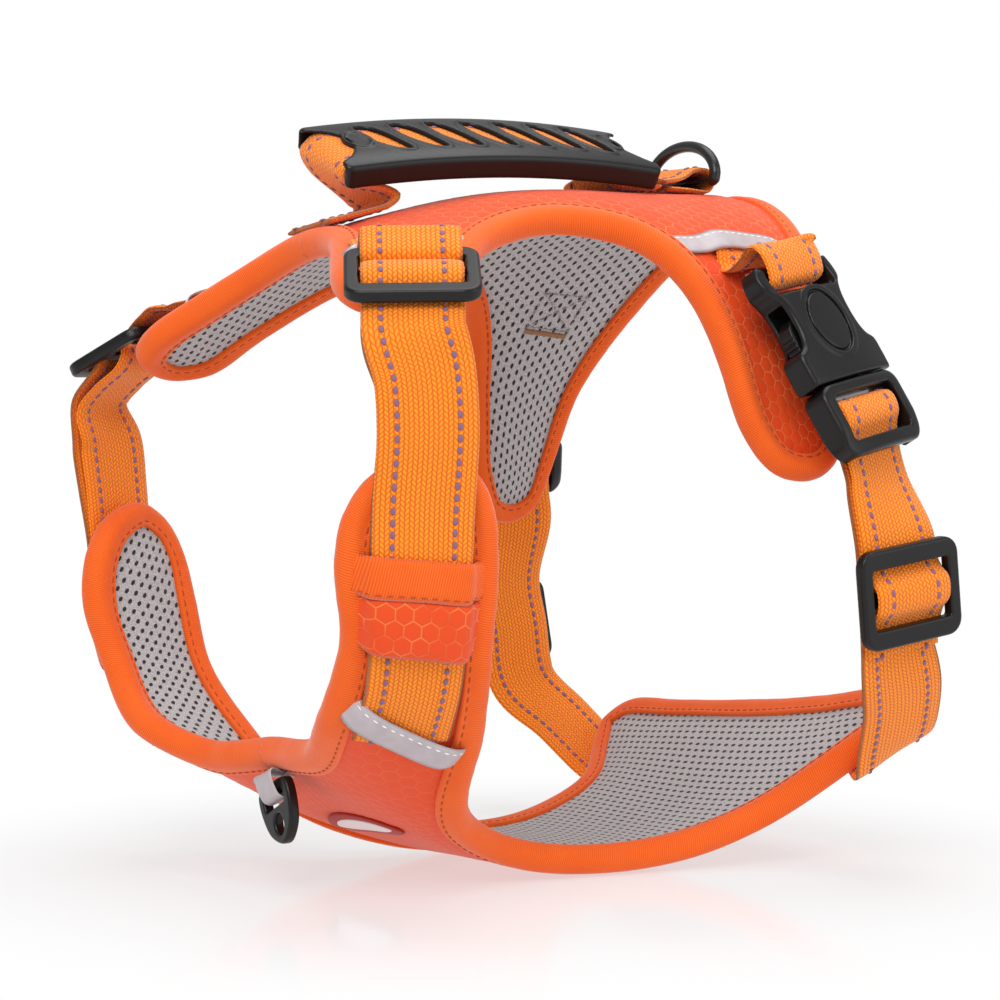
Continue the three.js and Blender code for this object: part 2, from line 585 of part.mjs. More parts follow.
for (const [side, label] of [[1, "left"], [-1, "right"]]) {
  const m = ([a, b]) => [side * a, b];
  const shoulder = frame(side, [75.4, -76.2, 150.6], [0.77, -0.45, -0.45], [0.4, -0.25, 0.88]);
  const girth = frame(side, [96, 64, 67.5], [-0.05, 0.14, -0.98], [0.98, -0.03, 0.1]);
  const clasp = frame(side, [77.3, 53, 131.5], [0.42, 0.26, -0.86], [0.86, 0.16, 0.46]);
  const onBack = (a, b, height) => onPanel(back, side * a, b, height, [0.35, side]);
  const onBackRear = (a, b, height) => onPanel(back, side * a, b, height, [-0.2, side]);
  const onChestArm = (up, height) => onPanel(chest, ...m(onArm(up, -2)), height, [0.69, side * 0.72]);
  const onBelly = (a, b, height) => onPanel(chest, side * a, b, height, [0.6, side * 0.8]);

  add(`${label}_shoulder_slider`, "plastic", sliderPart, shoulder.matrix);
  add(`${label}_girth_slider`, "plastic", sliderPart, girth.matrix);
  buckle(side, label, clasp);

  // Shoulder anchor: sewn on the back panel's front arm, looped round the slider's top bar.
  add(`${label}_shoulder_anchor`, "webbing", webbing([
    onBack(42, -58, STRAP_LOW),
    onBack(51, -61.5, STRAP_LOW + 1.2),
    onBack(57, -64.5, STRAP_LOW + 5.2),
    shoulder.station(17, 5.6),
    shoulder.station(13.8, 4.6),
    shoulder.station(10.6, 3.5),
    shoulder.station(8.2, 2.2),
    shoulder.station(7.6, 0),
    shoulder.station(8, -2.2),
    shoulder.station(9, -2.5),
  ], 26));

  // Shoulder strap: sewn at the chest seam, up behind the slider, over its centre bar and back
  // down as a second layer that ends under the keeper.
  const shoulderWide = [0.35, 0.94, 0];
  add(`${label}_shoulder_strap`, "webbing", webbing([
    onChestArm(20, STRAP_LOW),
    onChestArm(36, STRAP_LOW),
    onChestArm(55, STRAP_LOW),
    onChestArm(78, STRAP_LOW + 0.4),
    loose(side, [84, -77, 112], shoulderWide),
    loose(side, [84.5, -78.5, 126], shoulderWide),
    shoulder.station(-16.5, -9.6),
    shoulder.station(-9, -6.6),
    shoulder.station(0.5, -4.8),
    shoulder.station(4.2, -1.4),
    shoulder.station(3.0, 1.7),
    shoulder.station(0, OVER_BAR),
    shoulder.station(-3.0, 1.5),
    shoulder.station(-6, -1.8),
    shoulder.station(-10, LAYER_1 - 0.2),
    shoulder.station(-17, -6.6),
    loose(side, [87.6, -80, 126], shoulderWide),
    loose(side, [86.8, -78.4, 112], shoulderWide),
    onChestArm(80, STRAP_TAIL + 0.6),
    onChestArm(62, STRAP_TAIL),
    onChestArm(50, STRAP_TAIL),
  ], 66));

  // Girth anchor: sewn on the back panel's rear arm, looped round the socket's top bar.
  add(`${label}_girth_anchor`, "webbing", webbing([
    onBackRear(50, 50, STRAP_LOW),
    onBackRear(57, 50, STRAP_LOW + 1.4),
    clasp.station(33, 3.4),
    clasp.station(29.2, 4.4),
    clasp.station(25.5, 3.8),
    clasp.station(23.2, 2.5),
    clasp.station(22.5, 0),
    clasp.station(23.2, -2.4),
    clasp.station(25.5, -3.5),
    clasp.station(29, -3.2),
  ], 26));

  // Girth strap: sewn under the chest panel's rear corner, up behind the slider, round the
  // plug's bar, and back down over the slider's centre bar.
  add(`${label}_girth_strap`, "webbing", webbing([
    onBelly(56, 180.5, STRAP_LOW),
    onBelly(62, 176, STRAP_LOW + 0.6),
    onBelly(69, 171, STRAP_LOW + 0.5),
    loose(side, [81, 75, 38], [0.25, 0.9, 0.36]),
    girth.station(-17, -6.5),
    girth.station(0, LAYER_2 - 0.4),
    girth.station(14, LAYER_2),
    clasp.station(-34, -7.5),
    clasp.station(-26, -4.8),
    clasp.station(-19.6, -4.0),
    clasp.station(-15.4, -3.4),
    clasp.station(-13.7, -2.5),
    clasp.station(-12.9, 0),
    clasp.station(-13.7, 2.5),
    clasp.station(-15.4, 3.3),
    clasp.station(-19.2, 2.6),
    clasp.station(-22, 0),
    clasp.station(-26, -2.2),
    clasp.station(-34, -4.9),
    girth.station(14, LAYER_1),
    girth.station(9, LAYER_1 + 0.2),
    girth.station(5.4, -1.2),
    girth.station(3.0, 1.7),
    girth.station(0, OVER_BAR),
    girth.station(-3.0, 1.5),
    girth.station(-6, -1.8),
    girth.station(-9, LAYER_1),
  ], 84));

  // Reflective strips over the strap ends, and the keeper with its elastic top band.
  const stripLow = ON_SHELL + 2.9;
  add(`${label}_front_reflector`, "reflective",
    strip(back, m([39, -74]), m([38, -37]), REFLECTOR_WIDTH, side * -2, stripLow + 0.4));
  add(`${label}_rear_reflector`, "reflective",
    strip(back, m([50, 32]), m([49, 70]), REFLECTOR_WIDTH, side * 3, stripLow));
  add(`${label}_chest_reflector`, "reflective",
    strip(chest, m(onArm(27, -13.5)), m(onArm(15, 12)), REFLECTOR_WIDTH, side, stripLow));
  add(`${label}_keeper`, "shell",
    strip(chest, m(onArm(53, -17)), m(onArm(51, 14)), 14, 0, ON_SHELL + 6));
  add(`${label}_keeper_band`, "binding",
    strip(chest, m(onArm(65, -16)), m(onArm(63, 15)), 8, 0, ON_SHELL + 6, 1.6));
}

// Handle: its webbing is folded back on itself at both feet. It rests tilted to the left.
const tilt = THREE.MathUtils.degToRad(HANDLE.tilt);
const gripSeat = new THREE.Matrix4().makeRotationY(tilt).setPosition(0, HANDLE.middle, HANDLE.pivotHeight)
  .multiply(new THREE.Matrix4().makeTranslation(0, 0, HANDLE.standing))
  .multiply(new THREE.Matrix4().makeRotationX(THREE.MathUtils.degToRad(HANDLE.pitch)));
add("handle_grip", "plastic", gripGeometry(), gripSeat);

const inGrip = (y, z, turn = 1) => ({
  at: new THREE.Vector3(0, y, z).applyMatrix4(gripSeat).toArray(),
  wide: [Math.cos(tilt * turn), 0, -Math.sin(tilt * turn)],
});
const tunnelZ = (y) => Math.sqrt((gripRadius - TUNNEL.top - TUNNEL.height / 2) ** 2 - y ** 2) - gripRadius;
const footStation = (b, height) => onPanel(back, 0, b, STRAP_LOW + height, [1, 0]);
add("handle_webbing", "webbing", webbing([
  footStation(-60, 0),
  footStation(-48, 0),
  footStation(-41, 0.6),
  footStation(-38.5, 3.2),
  footStation(-42, 5.6),
  inGrip(-gripEnd + 3, -12.5, 0.5),
  inGrip(-gripEnd + 2, tunnelZ(gripEnd) - 1.6, 0.9),
  inGrip(-gripEnd + 5, tunnelZ(gripEnd - 5)),
  ...[-38, -19, 0, 19, 38].map((y) => inGrip(y, tunnelZ(y))),
  inGrip(gripEnd - 5, tunnelZ(gripEnd - 5)),
  inGrip(gripEnd - 2, tunnelZ(gripEnd) - 1.6, 0.9),
  inGrip(gripEnd - 4, -11.5, 0.4),
  footStation(33, 5),
  footStation(29.5, 3),
  footStation(32, 0.6),
  footStation(40, 0),
  footStation(46, 0),
], 70));

// Leash ring at the rear, standing in a loop of webbing sewn to the spine.
const RING_BAR = back(0, 62, ON_SHELL + 3.6);
const ringLean = THREE.MathUtils.degToRad(D_RING.lean);
const ringSeat = new THREE.Matrix4().makeBasis(
  new THREE.Vector3(1, 0, 0),
  new THREE.Vector3(0, Math.sin(ringLean), Math.cos(ringLean)),
  new THREE.Vector3(0, -Math.cos(ringLean), Math.sin(ringLean)),
).setPosition(...RING_BAR);
add("leash_ring", "metal", dRingGeometry(), ringSeat);
const loopStation = (y, z) => ({ at: [0, RING_BAR[1] + y, RING_BAR[2] + z], wide: [1, 0, 0] });
add("leash_ring_webbing", "webbing", webbing([
  loopStation(-12, 0),
  loopStation(-8, 0.6),
  loopStation(-3, 3.0),
  loopStation(1.5, 3.1),
  loopStation(3.4, 0),
  loopStation(1.5, -3.0),
  loopStation(-5, -2.9),
  loopStation(-12, -2.4),
], 26, WEBBING_WIDTH - 2));

// Chest ring: a small moulded tab on a reflective ribbon under the neck edge.
const ribbonRoot = chest(0, 9.2, SHELL.to + 1.6);
const chestRing = new THREE.Matrix4().makeBasis(
  new THREE.Vector3(0.89, 0, 0.45), new THREE.Vector3(-0.45, 0, 0.89), new THREE.Vector3(0, -1, 0),
).setPosition(ribbonRoot[0] + 3.4, ribbonRoot[1] - 4.4, ribbonRoot[2] - 1.4);
add("chest_ring", "plastic", frontRingGeometry(), chestRing);
const ribbonStation = (y, z) => ({
  at: new THREE.Vector3(0, y, z).applyMatrix4(chestRing).toArray(), wide: [0.93, 0, 0.36],
});
add("chest_ring_ribbon", "reflective", webbing([
  onPanel(chest, 0, 9.2, SHELL.to + 1.6, [1, 0]),
  ribbonStation(3, 2.6),
  ribbonStation(-1.4, 2.6),
  ribbonStation(-3.7, 1.6),
  ribbonStation(-4.3, 0),
  ribbonStation(-3.7, -1.6),
  ribbonStation(-1.4, -2.5),
  ribbonStation(2, -2.2),
], 20, RIBBON_WIDTH, 0.8));

// Plain label patch on the breast, without any mark.
add("chest_label", "label", strip(chest, [-20, 36], [20, 36], 11, 0, ON_SHELL));

// Stand the harness on the floor, with the middle of its box over the origin.
harness.updateMatrixWorld(true);
const bounds = new THREE.Box3().setFromObject(harness, true);
const middle = bounds.getCenter(new THREE.Vector3());
harness.position.set(-middle.x, -middle.y, -bounds.min.z);

export default harness;
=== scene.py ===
# The visual model of a no-pull dog harness: cloth panels, edge binding, webbing, stitching and
# moulded hardware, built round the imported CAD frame.
#
# Lengths are millimetres in the drawing frame, which is the CAD model's before it was stood on
# the floor. The dog would face -Y, its left side is +X and +Z is up. Soft panels are drawn flat,
# as sewing patterns (a across, b along), and draped into shape. Hardware is drawn in local
# frames: x across the strap, y up the strap towards the spine, z out of its face.
import bpy
import math
import numpy as np
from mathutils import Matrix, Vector


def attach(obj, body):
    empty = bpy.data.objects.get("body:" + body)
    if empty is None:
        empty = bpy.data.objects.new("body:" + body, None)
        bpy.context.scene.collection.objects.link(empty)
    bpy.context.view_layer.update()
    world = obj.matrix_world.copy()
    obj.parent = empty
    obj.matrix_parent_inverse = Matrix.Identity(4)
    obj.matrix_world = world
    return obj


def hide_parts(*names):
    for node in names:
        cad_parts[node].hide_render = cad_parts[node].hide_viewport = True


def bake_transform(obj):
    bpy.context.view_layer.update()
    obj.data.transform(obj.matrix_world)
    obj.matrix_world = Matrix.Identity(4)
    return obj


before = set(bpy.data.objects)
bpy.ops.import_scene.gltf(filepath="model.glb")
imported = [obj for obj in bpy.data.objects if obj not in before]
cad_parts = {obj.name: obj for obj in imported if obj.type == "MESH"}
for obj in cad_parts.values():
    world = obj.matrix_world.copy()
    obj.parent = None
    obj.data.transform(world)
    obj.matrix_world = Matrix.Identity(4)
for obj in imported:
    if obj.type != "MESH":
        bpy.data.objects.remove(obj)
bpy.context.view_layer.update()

# ---- Sizes shared with the CAD model ----
MM = 0.001
STAND = np.array([0.0, -0.6506, 0.5465])  # from the drawing frame to the model's frame
LEAN = 0.11  # the standing harness leans to its right: rise per millimetre of x
LEAN_FROM = 25.0  # height at which the lean is full
WEBBING = {"width": 25.0, "thick": 1.6}
THREAD_LINE = 7.65  # the contrast threads' distance from the webbing's middle
SHELL_EDGE = 2.2  # the shell's height over the middle of the padding, at its seam
CROWN = 0.9  # how much higher it stands away from the seam
CROWN_RUN = 14.0
LINING_EDGE = -2.2
SKIN = 1.0  # thickness of the shell cloth and of the lining
STRAP_LOW = 4.5  # height of a strap sewn on a shell, at its middle
STRAP_TAIL = 6.3  # a second strap layer on top of it
KEEPER_HIGH = 7.9
REFLECTOR = {"width": 7.0, "thick": 0.7}
HEXAGON = 4.3  # honeycomb cell, flat to flat
LAYER_1 = -3.1  # webbing directly behind a slider's frame
LAYER_2 = -5.6  # a second webbing layer behind it
OVER_BAR = 2.2  # webbing over a slider's centre bar

SLIDER = {
    "width": 33.0, "height": 26.4, "half": 1.7, "corner": 4.5, "slot": 12.9, "bar": 2.0, "rail": 5.2,
}
BUCKLE = {
    "half": 17.5, "mouth": -7.7, "top": 28.5, "bottom": -28.5, "deep": 5.2, "seam": 0.4, "slot": 13.4,
}
ARM = {"inner": 9.6, "outer": 13.2, "tab": 14.6, "length": 20.0, "half": 2.2}
GRIP = {"half": 51.0, "width": 30.0, "thick": 6.4, "rise": 3.6, "pitch": 11.0}
HANDLE = {
    "middle": -8.0, "pivot": 192.0, "standing": 10.5, "tilt": math.radians(25), "pitch": math.radians(2.3),
}
TUNNEL = {"half": 13.2, "top": 1.0, "height": 3.2}
D_RING = {"half": 15.4, "radius": 1.6, "height": 10.6, "lean": math.radians(6)}
CHEST_RING = {"half": 8.0, "height": 16.0, "thick": 3.0}


# ---- Small vector helpers ----
def unit(v):
    v = np.asarray(v, float)
    return v / np.linalg.norm(v, axis=-1, keepdims=True)


def lean(x, z):
    return LEAN * x * np.minimum(1.0, z / LEAN_FROM)


def smooth(t):
    t = np.clip(t, 0.0, 1.0)
    return t * t * (3 - 2 * t)


def waves(points, scale, seed=0.0):
    """A smooth, repeatable unevenness between about -1 and 1, for soft goods."""
    p = np.asarray(points, float) / scale + seed
    total = np.zeros(len(p))
    for k, (cx, cy) in enumerate([(1.0, 0.37), (-0.61, 1.13), (1.9, -1.27), (0.43, 2.3)]):
        total += np.sin(cx * p[:, 0] + cy * p[:, 1] + 1.7 * k) / (1.6 ** k)
    return total / 2.2


# ---- The drape: a thin-plate map from a flat pattern to space ----
class Drape:
    def __init__(self, pins, side):
        rows = []
        for a, b, x, y, z in pins:
            for s in ([1] if a == 0 else [1, -1]):
                rows.append((s * a, b, s * x, y, z + lean(s * x, z)))
        table = np.array(rows, float)
        self.side = side
        self.knots = table[:, :2]
        count = len(table)
        basis = self.basis(self.knots)
        system = np.zeros((count + 3, count + 3))
        system[:count] = basis
        system[count:, :count] = basis[:, count:].T
        self.weights = np.linalg.solve(system, np.vstack([table[:, 2:], np.zeros((3, 3))]))

    def basis(self, ab):
        square = ((ab[:, None] - self.knots[None]) ** 2).sum(2)
        bend = square * np.log(np.maximum(square, 1e-12))
        return np.hstack([bend, np.ones((len(ab), 1)), ab])

    def at(self, ab):
        return self.basis(ab) @ self.weights

    def point(self, ab, height=0.0):
        ab = np.atleast_2d(np.asarray(ab, float))
        across = self.at(ab + [0.5, 0]) - self.at(ab - [0.5, 0])
        along = self.at(ab + [0, 0.5]) - self.at(ab - [0, 0.5])
        normal = unit(np.cross(across, along)) * self.side
        return self.at(ab) + normal * np.reshape(height, (-1, 1))


def on_arm(up, rear):
    """A point of a chest arm's pattern: distance up its middle line, and offset to its rear."""
    return [44 + 0.72 * up + 0.69 * rear, 10 - 0.69 * up + 0.72 * rear]


BACK = Drape([
    (0, -64, 0, -64, 169), (0, -15, 0, -15, 180.5), (0, 40, 0, 40, 183), (0, 84, 0, 84, 183),
    (36, -75, 34, -75, 159), (66, -48, 59, -48, 149), (74, -84, 63, -84, 144.5),
    (42, -8, 38, -8, 170), (50, 14, 46, 14, 164.5), (78, 28, 60, 27, 140), (112, 36, 69, 35, 108),
    (46, 80, 40, 75, 162), (76, 76, 60, 65, 137), (112, 72, 72, 60, 106),
], 1)
CHEST = Drape([
    (0, 0, 0, -76, 38), (0, 50, 0, -32, 12.5), (0, 100, 0, 14, 3.4), (0, 146, 0, 58, 11),
    (0, 192, 0, 92, 39),
    (*on_arm(0, -20), 30, -80, 38), (*on_arm(0, 20), 46, -41, 23),
    (*on_arm(20, -20), 50, -88, 46.5), (*on_arm(20, 20), 61, -46, 39),
    (*on_arm(45, -20), 64, -90, 64), (*on_arm(45, 20), 75, -53, 60),
    (*on_arm(65, -20), 68, -94, 81), (*on_arm(65, 20), 81, -55, 79),
    (*on_arm(78, -20), 69, -93, 94), (*on_arm(78, 20), 84, -57, 93),
    (*on_arm(94, 0), 79, -74, 108),
    (32, 86, 32, -1, 4.6), (42, 124, 42, 37, 6.5), (50, 146, 50, 60, 14), (64, 168, 63, 77, 26),
    (74, 180, 71, 87, 34), (64, 192, 62, 92, 41),
], -1)
BACK_EDGE = [
    [0, -64], [20, -67], [38, -76], [56, -83.5], [69, -82.5], [77, -72], [74, -58], [58, -46],
    [45, -30], [41, -8], [48, 12], [64, 23], [86, 29], [106, 33], [119, 43], [121, 58], [114, 70],
    [96, 75], [70, 78], [46, 81], [20, 84], [0, 84.5],
]
CHEST_EDGE = [
    [0, 0], [16, -1], on_arm(0, -20), on_arm(20, -20), on_arm(45, -20), on_arm(65, -20),
    on_arm(78, -19), on_arm(88, -13), on_arm(94, 0), on_arm(88, 13), on_arm(78, 19),
    on_arm(65, 20), on_arm(45, 20), on_arm(20, 20), on_arm(0, 20), [45, 42], [35, 64], [32, 86],
    [35, 108], [41, 128], [49, 148], [64, 167], [74, 180], [64, 191], [32, 193], [0, 192],
]


# ---- Smooth curves ----
def curve(points, closed=False, steps=24):
    """A centripetal Catmull-Rom curve through points, with each row's extra columns carried along."""
    p = np.asarray(points, float)
    if closed:
        p = np.vstack([p[-1], p, p[0], p[1]])
    else:
        p = np.vstack([2 * p[0] - p[1], p, 2 * p[-1] - p[-2]])
    gaps = np.maximum(np.linalg.norm(np.diff(p[:, :3], axis=0), axis=1), 1e-6) ** 0.5
    t = (np.arange(steps) / steps)[:, None]
    rows = []
    for k in range(len(p) - 3):
        p0, p1, p2, p3 = p[k:k + 4]
        d0, d1, d2 = gaps[k:k + 3]
        m1 = ((p1 - p0) / d0 - (p2 - p0) / (d0 + d1) + (p2 - p1) / d1) * d1
        m2 = ((p2 - p1) / d1 - (p3 - p1) / (d1 + d2) + (p3 - p2) / d2) * d1
        rows.append(p1 + m1 * t + (3 * (p2 - p1) - 2 * m1 - m2) * t ** 2 + (2 * (p1 - p2) + m1 + m2) * t ** 3)
    if not closed:
        rows.append(p[-2][None])
    return np.vstack(rows)


def spaced(points, step, closed=False, measure=None):
    """The same line, with its points about one step apart. measure gives the lengths' own points."""
    line = np.vstack([points, points[:1]]) if closed else np.asarray(points)
    ruler = line if measure is None else np.vstack([measure, measure[:1]]) if closed else measure
    length = np.concatenate([[0], np.cumsum(np.linalg.norm(np.diff(ruler[:, :3], axis=0), axis=1))])
    count = max(2, int(round(length[-1] / step)))
    at = np.linspace(0, length[-1], count + 1)
    out = np.stack([np.interp(at, length, line[:, k]) for k in range(line.shape[1])], 1)
    return (out[:-1], at[:-1]) if closed else (out, at)


def outline(half):
    left = np.array(half, float)
    right = left[1:-1][::-1] * [-1, 1]
    return curve(np.vstack([left, right]), closed=True)


def edge_distance(ab, line):
    """Signed distance from points to a closed outline, positive inside."""
    start, end = line, np.roll(line, -1, axis=0)
    result = np.empty(len(ab))
    for i in range(0, len(ab), 4000):
        p = ab[i:i + 4000, None]
        d = end - start
        t = np.clip(((p - start) * d).sum(2) / (d * d).sum(1), 0, 1)
        gap = np.linalg.norm(p - start - t[..., None] * d, axis=2).min(1)
        crosses = (start[:, 1] > p[..., 1]) != (end[:, 1] > p[..., 1])
        side = start[:, 0] + (p[..., 1] - start[:, 1]) * d[:, 0] / np.where(d[:, 1] == 0, 1e-9, d[:, 1])
        inside = (crosses & (p[..., 0] < side)).sum(1) % 2 == 1
        result[i:i + 4000] = np.where(inside, gap, -gap)
    return result


# ---- Mesh building ----
class Build:
    """Collects vertices, faces, flat coordinates and material numbers, and makes one object."""

    def __init__(self):
        self.vertices, self.faces, self.uv, self.kinds, self.count = [], [], [], [], 0

    def add(self, vertices, faces, uv=None, kind=0):
        self.vertices.append(np.asarray(vertices, float))
        self.faces += (np.asarray(faces) + self.count).tolist()
        self.uv.append(np.zeros((len(vertices), 2)) if uv is None else uv)
        self.kinds += [kind] * len(faces)
        self.count += len(vertices)

    def make(self, name, materials):
        mesh = bpy.data.meshes.new(name)
        mesh.from_pydata(((np.vstack(self.vertices) + STAND) * MM).tolist(), [], self.faces)
        for material in materials:
            mesh.materials.append(material)
        mesh.polygons.foreach_set("material_index", self.kinds)
        mesh.polygons.foreach_set("use_smooth", [True] * len(self.faces))
        corners = np.empty(len(mesh.loops), int)
        mesh.loops.foreach_get("vertex_index", corners)
        layer = mesh.uv_layers.new(name="flat")
        layer.data.foreach_set("uv", np.vstack(self.uv)[corners].ravel())
        obj = bpy.data.objects.new(name, mesh)
        bpy.context.scene.collection.objects.link(obj)
        return obj


def dress(obj, slot, nodes=(), body="harness"):
    """Hides the CAD nodes the piece stands for, and lets it ride on a body. Its slot, for the piece's finish,
    is not used.
    """
    if nodes:
        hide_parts(*nodes)
    if body:
        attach(obj, body)
    return obj


def ring_faces(rings, sides, closed):
    """Quads between successive rings of points, and from the last back to the first if closed."""
    i, j = np.meshgrid(np.arange(rings if closed else rings - 1), np.arange(sides), indexing="ij")
    i, j = i.ravel(), j.ravel()
    after, beside = (i + 1) % rings, (j + 1) % sides
    return np.stack([i * sides + j, i * sides + beside, after * sides + beside, after * sides + j], 1)


def cap_faces(first, sides, flip):
    """Closes a flat ring of points, numbered round it, with a strip of quads."""
    faces = []
    for k in range(sides // 2 - 1):
        quad = [first + k, first + k + 1, first + sides - 2 - k, first + sides - 1 - k]
        faces.append(quad if flip else quad[::-1])
    return faces


def loft(build, vertices, uv, flip=False, kind=0):
    """Joins rings of points, of shape (rings, sides, 3), into a closed body with two caps."""
    rings, sides = vertices.shape[:2]
    faces = np.vstack([
        ring_faces(rings, sides, False),
        cap_faces(0, sides, False),
        cap_faces((rings - 1) * sides, sides, True),
    ])
    build.add(vertices.reshape(-1, 3), faces[:, ::-1] if flip else faces, uv.reshape(-1, 2), kind)


def seeds(build, centres, along, across, out, size, kind):
    """Small rounded thread stitches: size is their half length, half width and half height."""
    segments, levels = 8, 3
    points = [(0.0, 0.0, -1.0)]
    for level in range(1, levels + 1):
        latitude = -math.pi / 2 + math.pi * level / (levels + 1)
        wide, high = math.cos(latitude), math.sin(latitude)
        for k in range(segments):
            turn = 2 * math.pi * k / segments
            points.append((wide * math.cos(turn), wide * math.sin(turn), high))
    points.append((0.0, 0.0, 1.0))
    shape = np.array(points) * size
    last = len(points) - 1
    faces = []
    for k in range(segments):
        after = (k + 1) % segments
        faces.append([0, 1 + after, 1 + k])
        for level in range(levels - 1):
            low = 1 + level * segments
            faces.append([low + k, low + after, low + segments + after, low + segments + k])
        top = 1 + (levels - 1) * segments
        faces.append([top + k, top + after, last])
    for c, t, w, n in zip(centres, along, across, out):
        build.vertices.append(c + shape[:, :1] * t + shape[:, 1:2] * w + shape[:, 2:] * n)
        build.faces += [[i + build.count for i in face] for face in faces]
        build.uv.append(np.zeros((len(points), 2)))
        build.kinds += [kind] * len(faces)
        build.count += len(points)


# ---- Materials ----
def rgb(text):
    """A linear colour from an sRGB hex string."""
    values = [int(text[i:i + 2], 16) / 255 for i in (0, 2, 4)]
    return [v / 12.92 if v <= 0.04045 else ((v + 0.055) / 1.055) ** 2.4 for v in values] + [1.0]


def sum_of(operation, swapped=False):
    """A method that adds a maths node for a wire and another value."""
    def method(wire, other):
        pair = (other, wire) if swapped else (wire, other)
        return wire.finish.math(operation, *pair)
    return method


class Wire:
    """An output in a material's node graph that can be used in arithmetic."""

    def __init__(self, finish, socket):
        self.finish = finish
        self.socket = socket

    __add__ = sum_of("ADD")
    __sub__ = sum_of("SUBTRACT")
    __rsub__ = sum_of("SUBTRACT", swapped=True)
    __mul__ = sum_of("MULTIPLY")
    __truediv__ = sum_of("DIVIDE")
    __mod__ = sum_of("FLOORED_MODULO")
    __pow__ = sum_of("POWER")


class Finish:
    """A principled material with small helpers for its node graph."""

    def __init__(self, name, roughness, sheen=0.0, specular=0.5):
        self.material = bpy.data.materials.new(name)
        self.material.use_nodes = True
        self.tree = self.material.node_tree
        self.surface = self.tree.nodes["Principled BSDF"]
        self.set("Roughness", roughness)
        self.set("Sheen Weight", sheen)
        self.set("Sheen Roughness", 0.4)
        self.set("Specular IOR Level", specular)
        flat = self.tree.nodes.new("ShaderNodeUVMap")
        flat.uv_map = "flat"
        self.flat = Wire(self, flat.outputs[0])
        split = self.node("ShaderNodeSeparateXYZ", self.flat)
        self.u = Wire(self, split.outputs[0])
        self.v = Wire(self, split.outputs[1])

    def feed(self, socket, value):
        if isinstance(value, Wire):
            self.tree.links.new(value.socket, socket)
        else:
            socket.default_value = value

    def node(self, kind, *values):
        """A new node with its first inputs given in order."""
        made = self.tree.nodes.new(kind)
        for socket, value in zip(made.inputs, values):
            self.feed(socket, value)
        return made

    def set(self, name, value):
        self.feed(self.surface.inputs[name], value)

    def math(self, operation, *values):
        made = self.node("ShaderNodeMath", *values)
        made.operation = operation
        return Wire(self, made.outputs[0])

    def ramp(self, value, low, high):
        """0 below low, 1 above high, smooth between them."""
        made = self.node("ShaderNodeMapRange", value, low, high, 0.0, 1.0)
        made.interpolation_type = "SMOOTHSTEP"
        return Wire(self, made.outputs[0])

    def noise(self, vector, scale, detail=2.0):
        made = self.tree.nodes.new("ShaderNodeTexNoise")
        for key, value in (("Vector", vector), ("Scale", scale), ("Detail", detail)):
            self.feed(made.inputs[key], value)
        return Wire(self, made.outputs[0])

    def place(self):
        """Object-space position in millimetres."""
        where = self.tree.nodes.new("ShaderNodeTexCoord").outputs["Object"]
        made = self.node("ShaderNodeVectorMath", Wire(self, where))
        made.operation = "SCALE"
        made.inputs["Scale"].default_value = 1 / MM
        return Wire(self, made.outputs[0])

    def mix(self, share, first, second):
        made = self.tree.nodes.new("ShaderNodeMix")
        made.data_type = "RGBA"
        for key, value in (("Factor", share), ("A", first), ("B", second)):
            self.feed(made.inputs[key], value)
        return Wire(self, [s for s in made.outputs if s.type == "RGBA"][0])

    def bump(self, height, depth_mm, strength=1.0):
        made = self.tree.nodes.new("ShaderNodeBump")
        for key, value in (("Height", height), ("Distance", depth_mm * MM), ("Strength", strength)):
            self.feed(made.inputs[key], value)
        self.set("Normal", Wire(self, made.outputs[0]))


def webbing_finish():
    """Heavy webbing: slanted grains in wales, each wale leaning against its neighbour."""
    f = Finish("webbing", 0.7, sheen=0.25, specular=0.25)
    wale, grain = 1.2, 1.25
    across = f.u / wale
    index = f.math("FLOOR", across)
    inside = across - index - 0.5
    odd = index % 2.0
    slope = inside * (1.0 - odd * 2.0)
    along = f.v / grain + slope * 0.7
    row = f.math("COSINE", (along + odd * 0.5) * (2 * math.pi)) * 0.5 + 0.5
    wall = f.math("COSINE", inside * math.pi)
    height = wall ** 0.55 * (row * 0.65 + 0.35)
    # Painted shade and highlight: the weave's valleys take the darker deep colours and its crests the lighter
    # high colours, following the same height as the bump; the noise within each is random tone.
    deep = f.mix(f.noise(f.flat, 0.06), rgb("e05a06"), rgb("ea6b0a"))
    high = f.mix(f.noise(f.flat, 2.6), rgb("fd8a14"), rgb("ffa630"))
    f.set("Base Color", f.mix(f.ramp(height, 0.12, 0.8), deep, high))
    f.bump(height, 0.3, 0.9)
    return f.material


def binding_finish():
    """Woven binding tape: fine ribs across the tape, a little slanted."""
    f = Finish("edge_binding", 0.75, sheen=0.3, specular=0.2)
    pitch, slant = 0.62, 0.3
    turn = f.u * (1 / pitch) + f.v * slant
    rib = f.math("SINE", turn * (2 * math.pi)) * 0.5 + 0.5
    tone = f.noise(f.flat, 0.09)
    # Painted shade and highlight: the hollows between the ribs take the darker deep colours and the rib
    # crests the lighter high colours, following the rib wave of the bump.
    deep = f.mix(tone, rgb("dc4e0e"), rgb("e45914"))
    high = f.mix(tone, rgb("f1631b"), rgb("f87327"))
    f.set("Base Color", f.mix(rib, deep, high))
    f.bump(rib + f.noise(f.flat, 1.7) * 0.6, 0.07, 0.6)
    return f.material


def hexagon_distance(f, size):
    """0 in the middle of a honeycomb cell and 1 on its edge, from the flat coordinates."""
    tall = size * math.sqrt(3)

    def cell(across, along):
        x = f.math("ABSOLUTE", (f.u + across) % size - size / 2)
        y = f.math("ABSOLUTE", (f.v + along) % tall - tall / 2)
        return f.math("MAXIMUM", x, x * 0.5 + y * (math.sqrt(3) / 2))

    return f.math("MINIMUM", cell(0.0, 0.0), cell(size / 2, tall / 2)) / (size / 2)


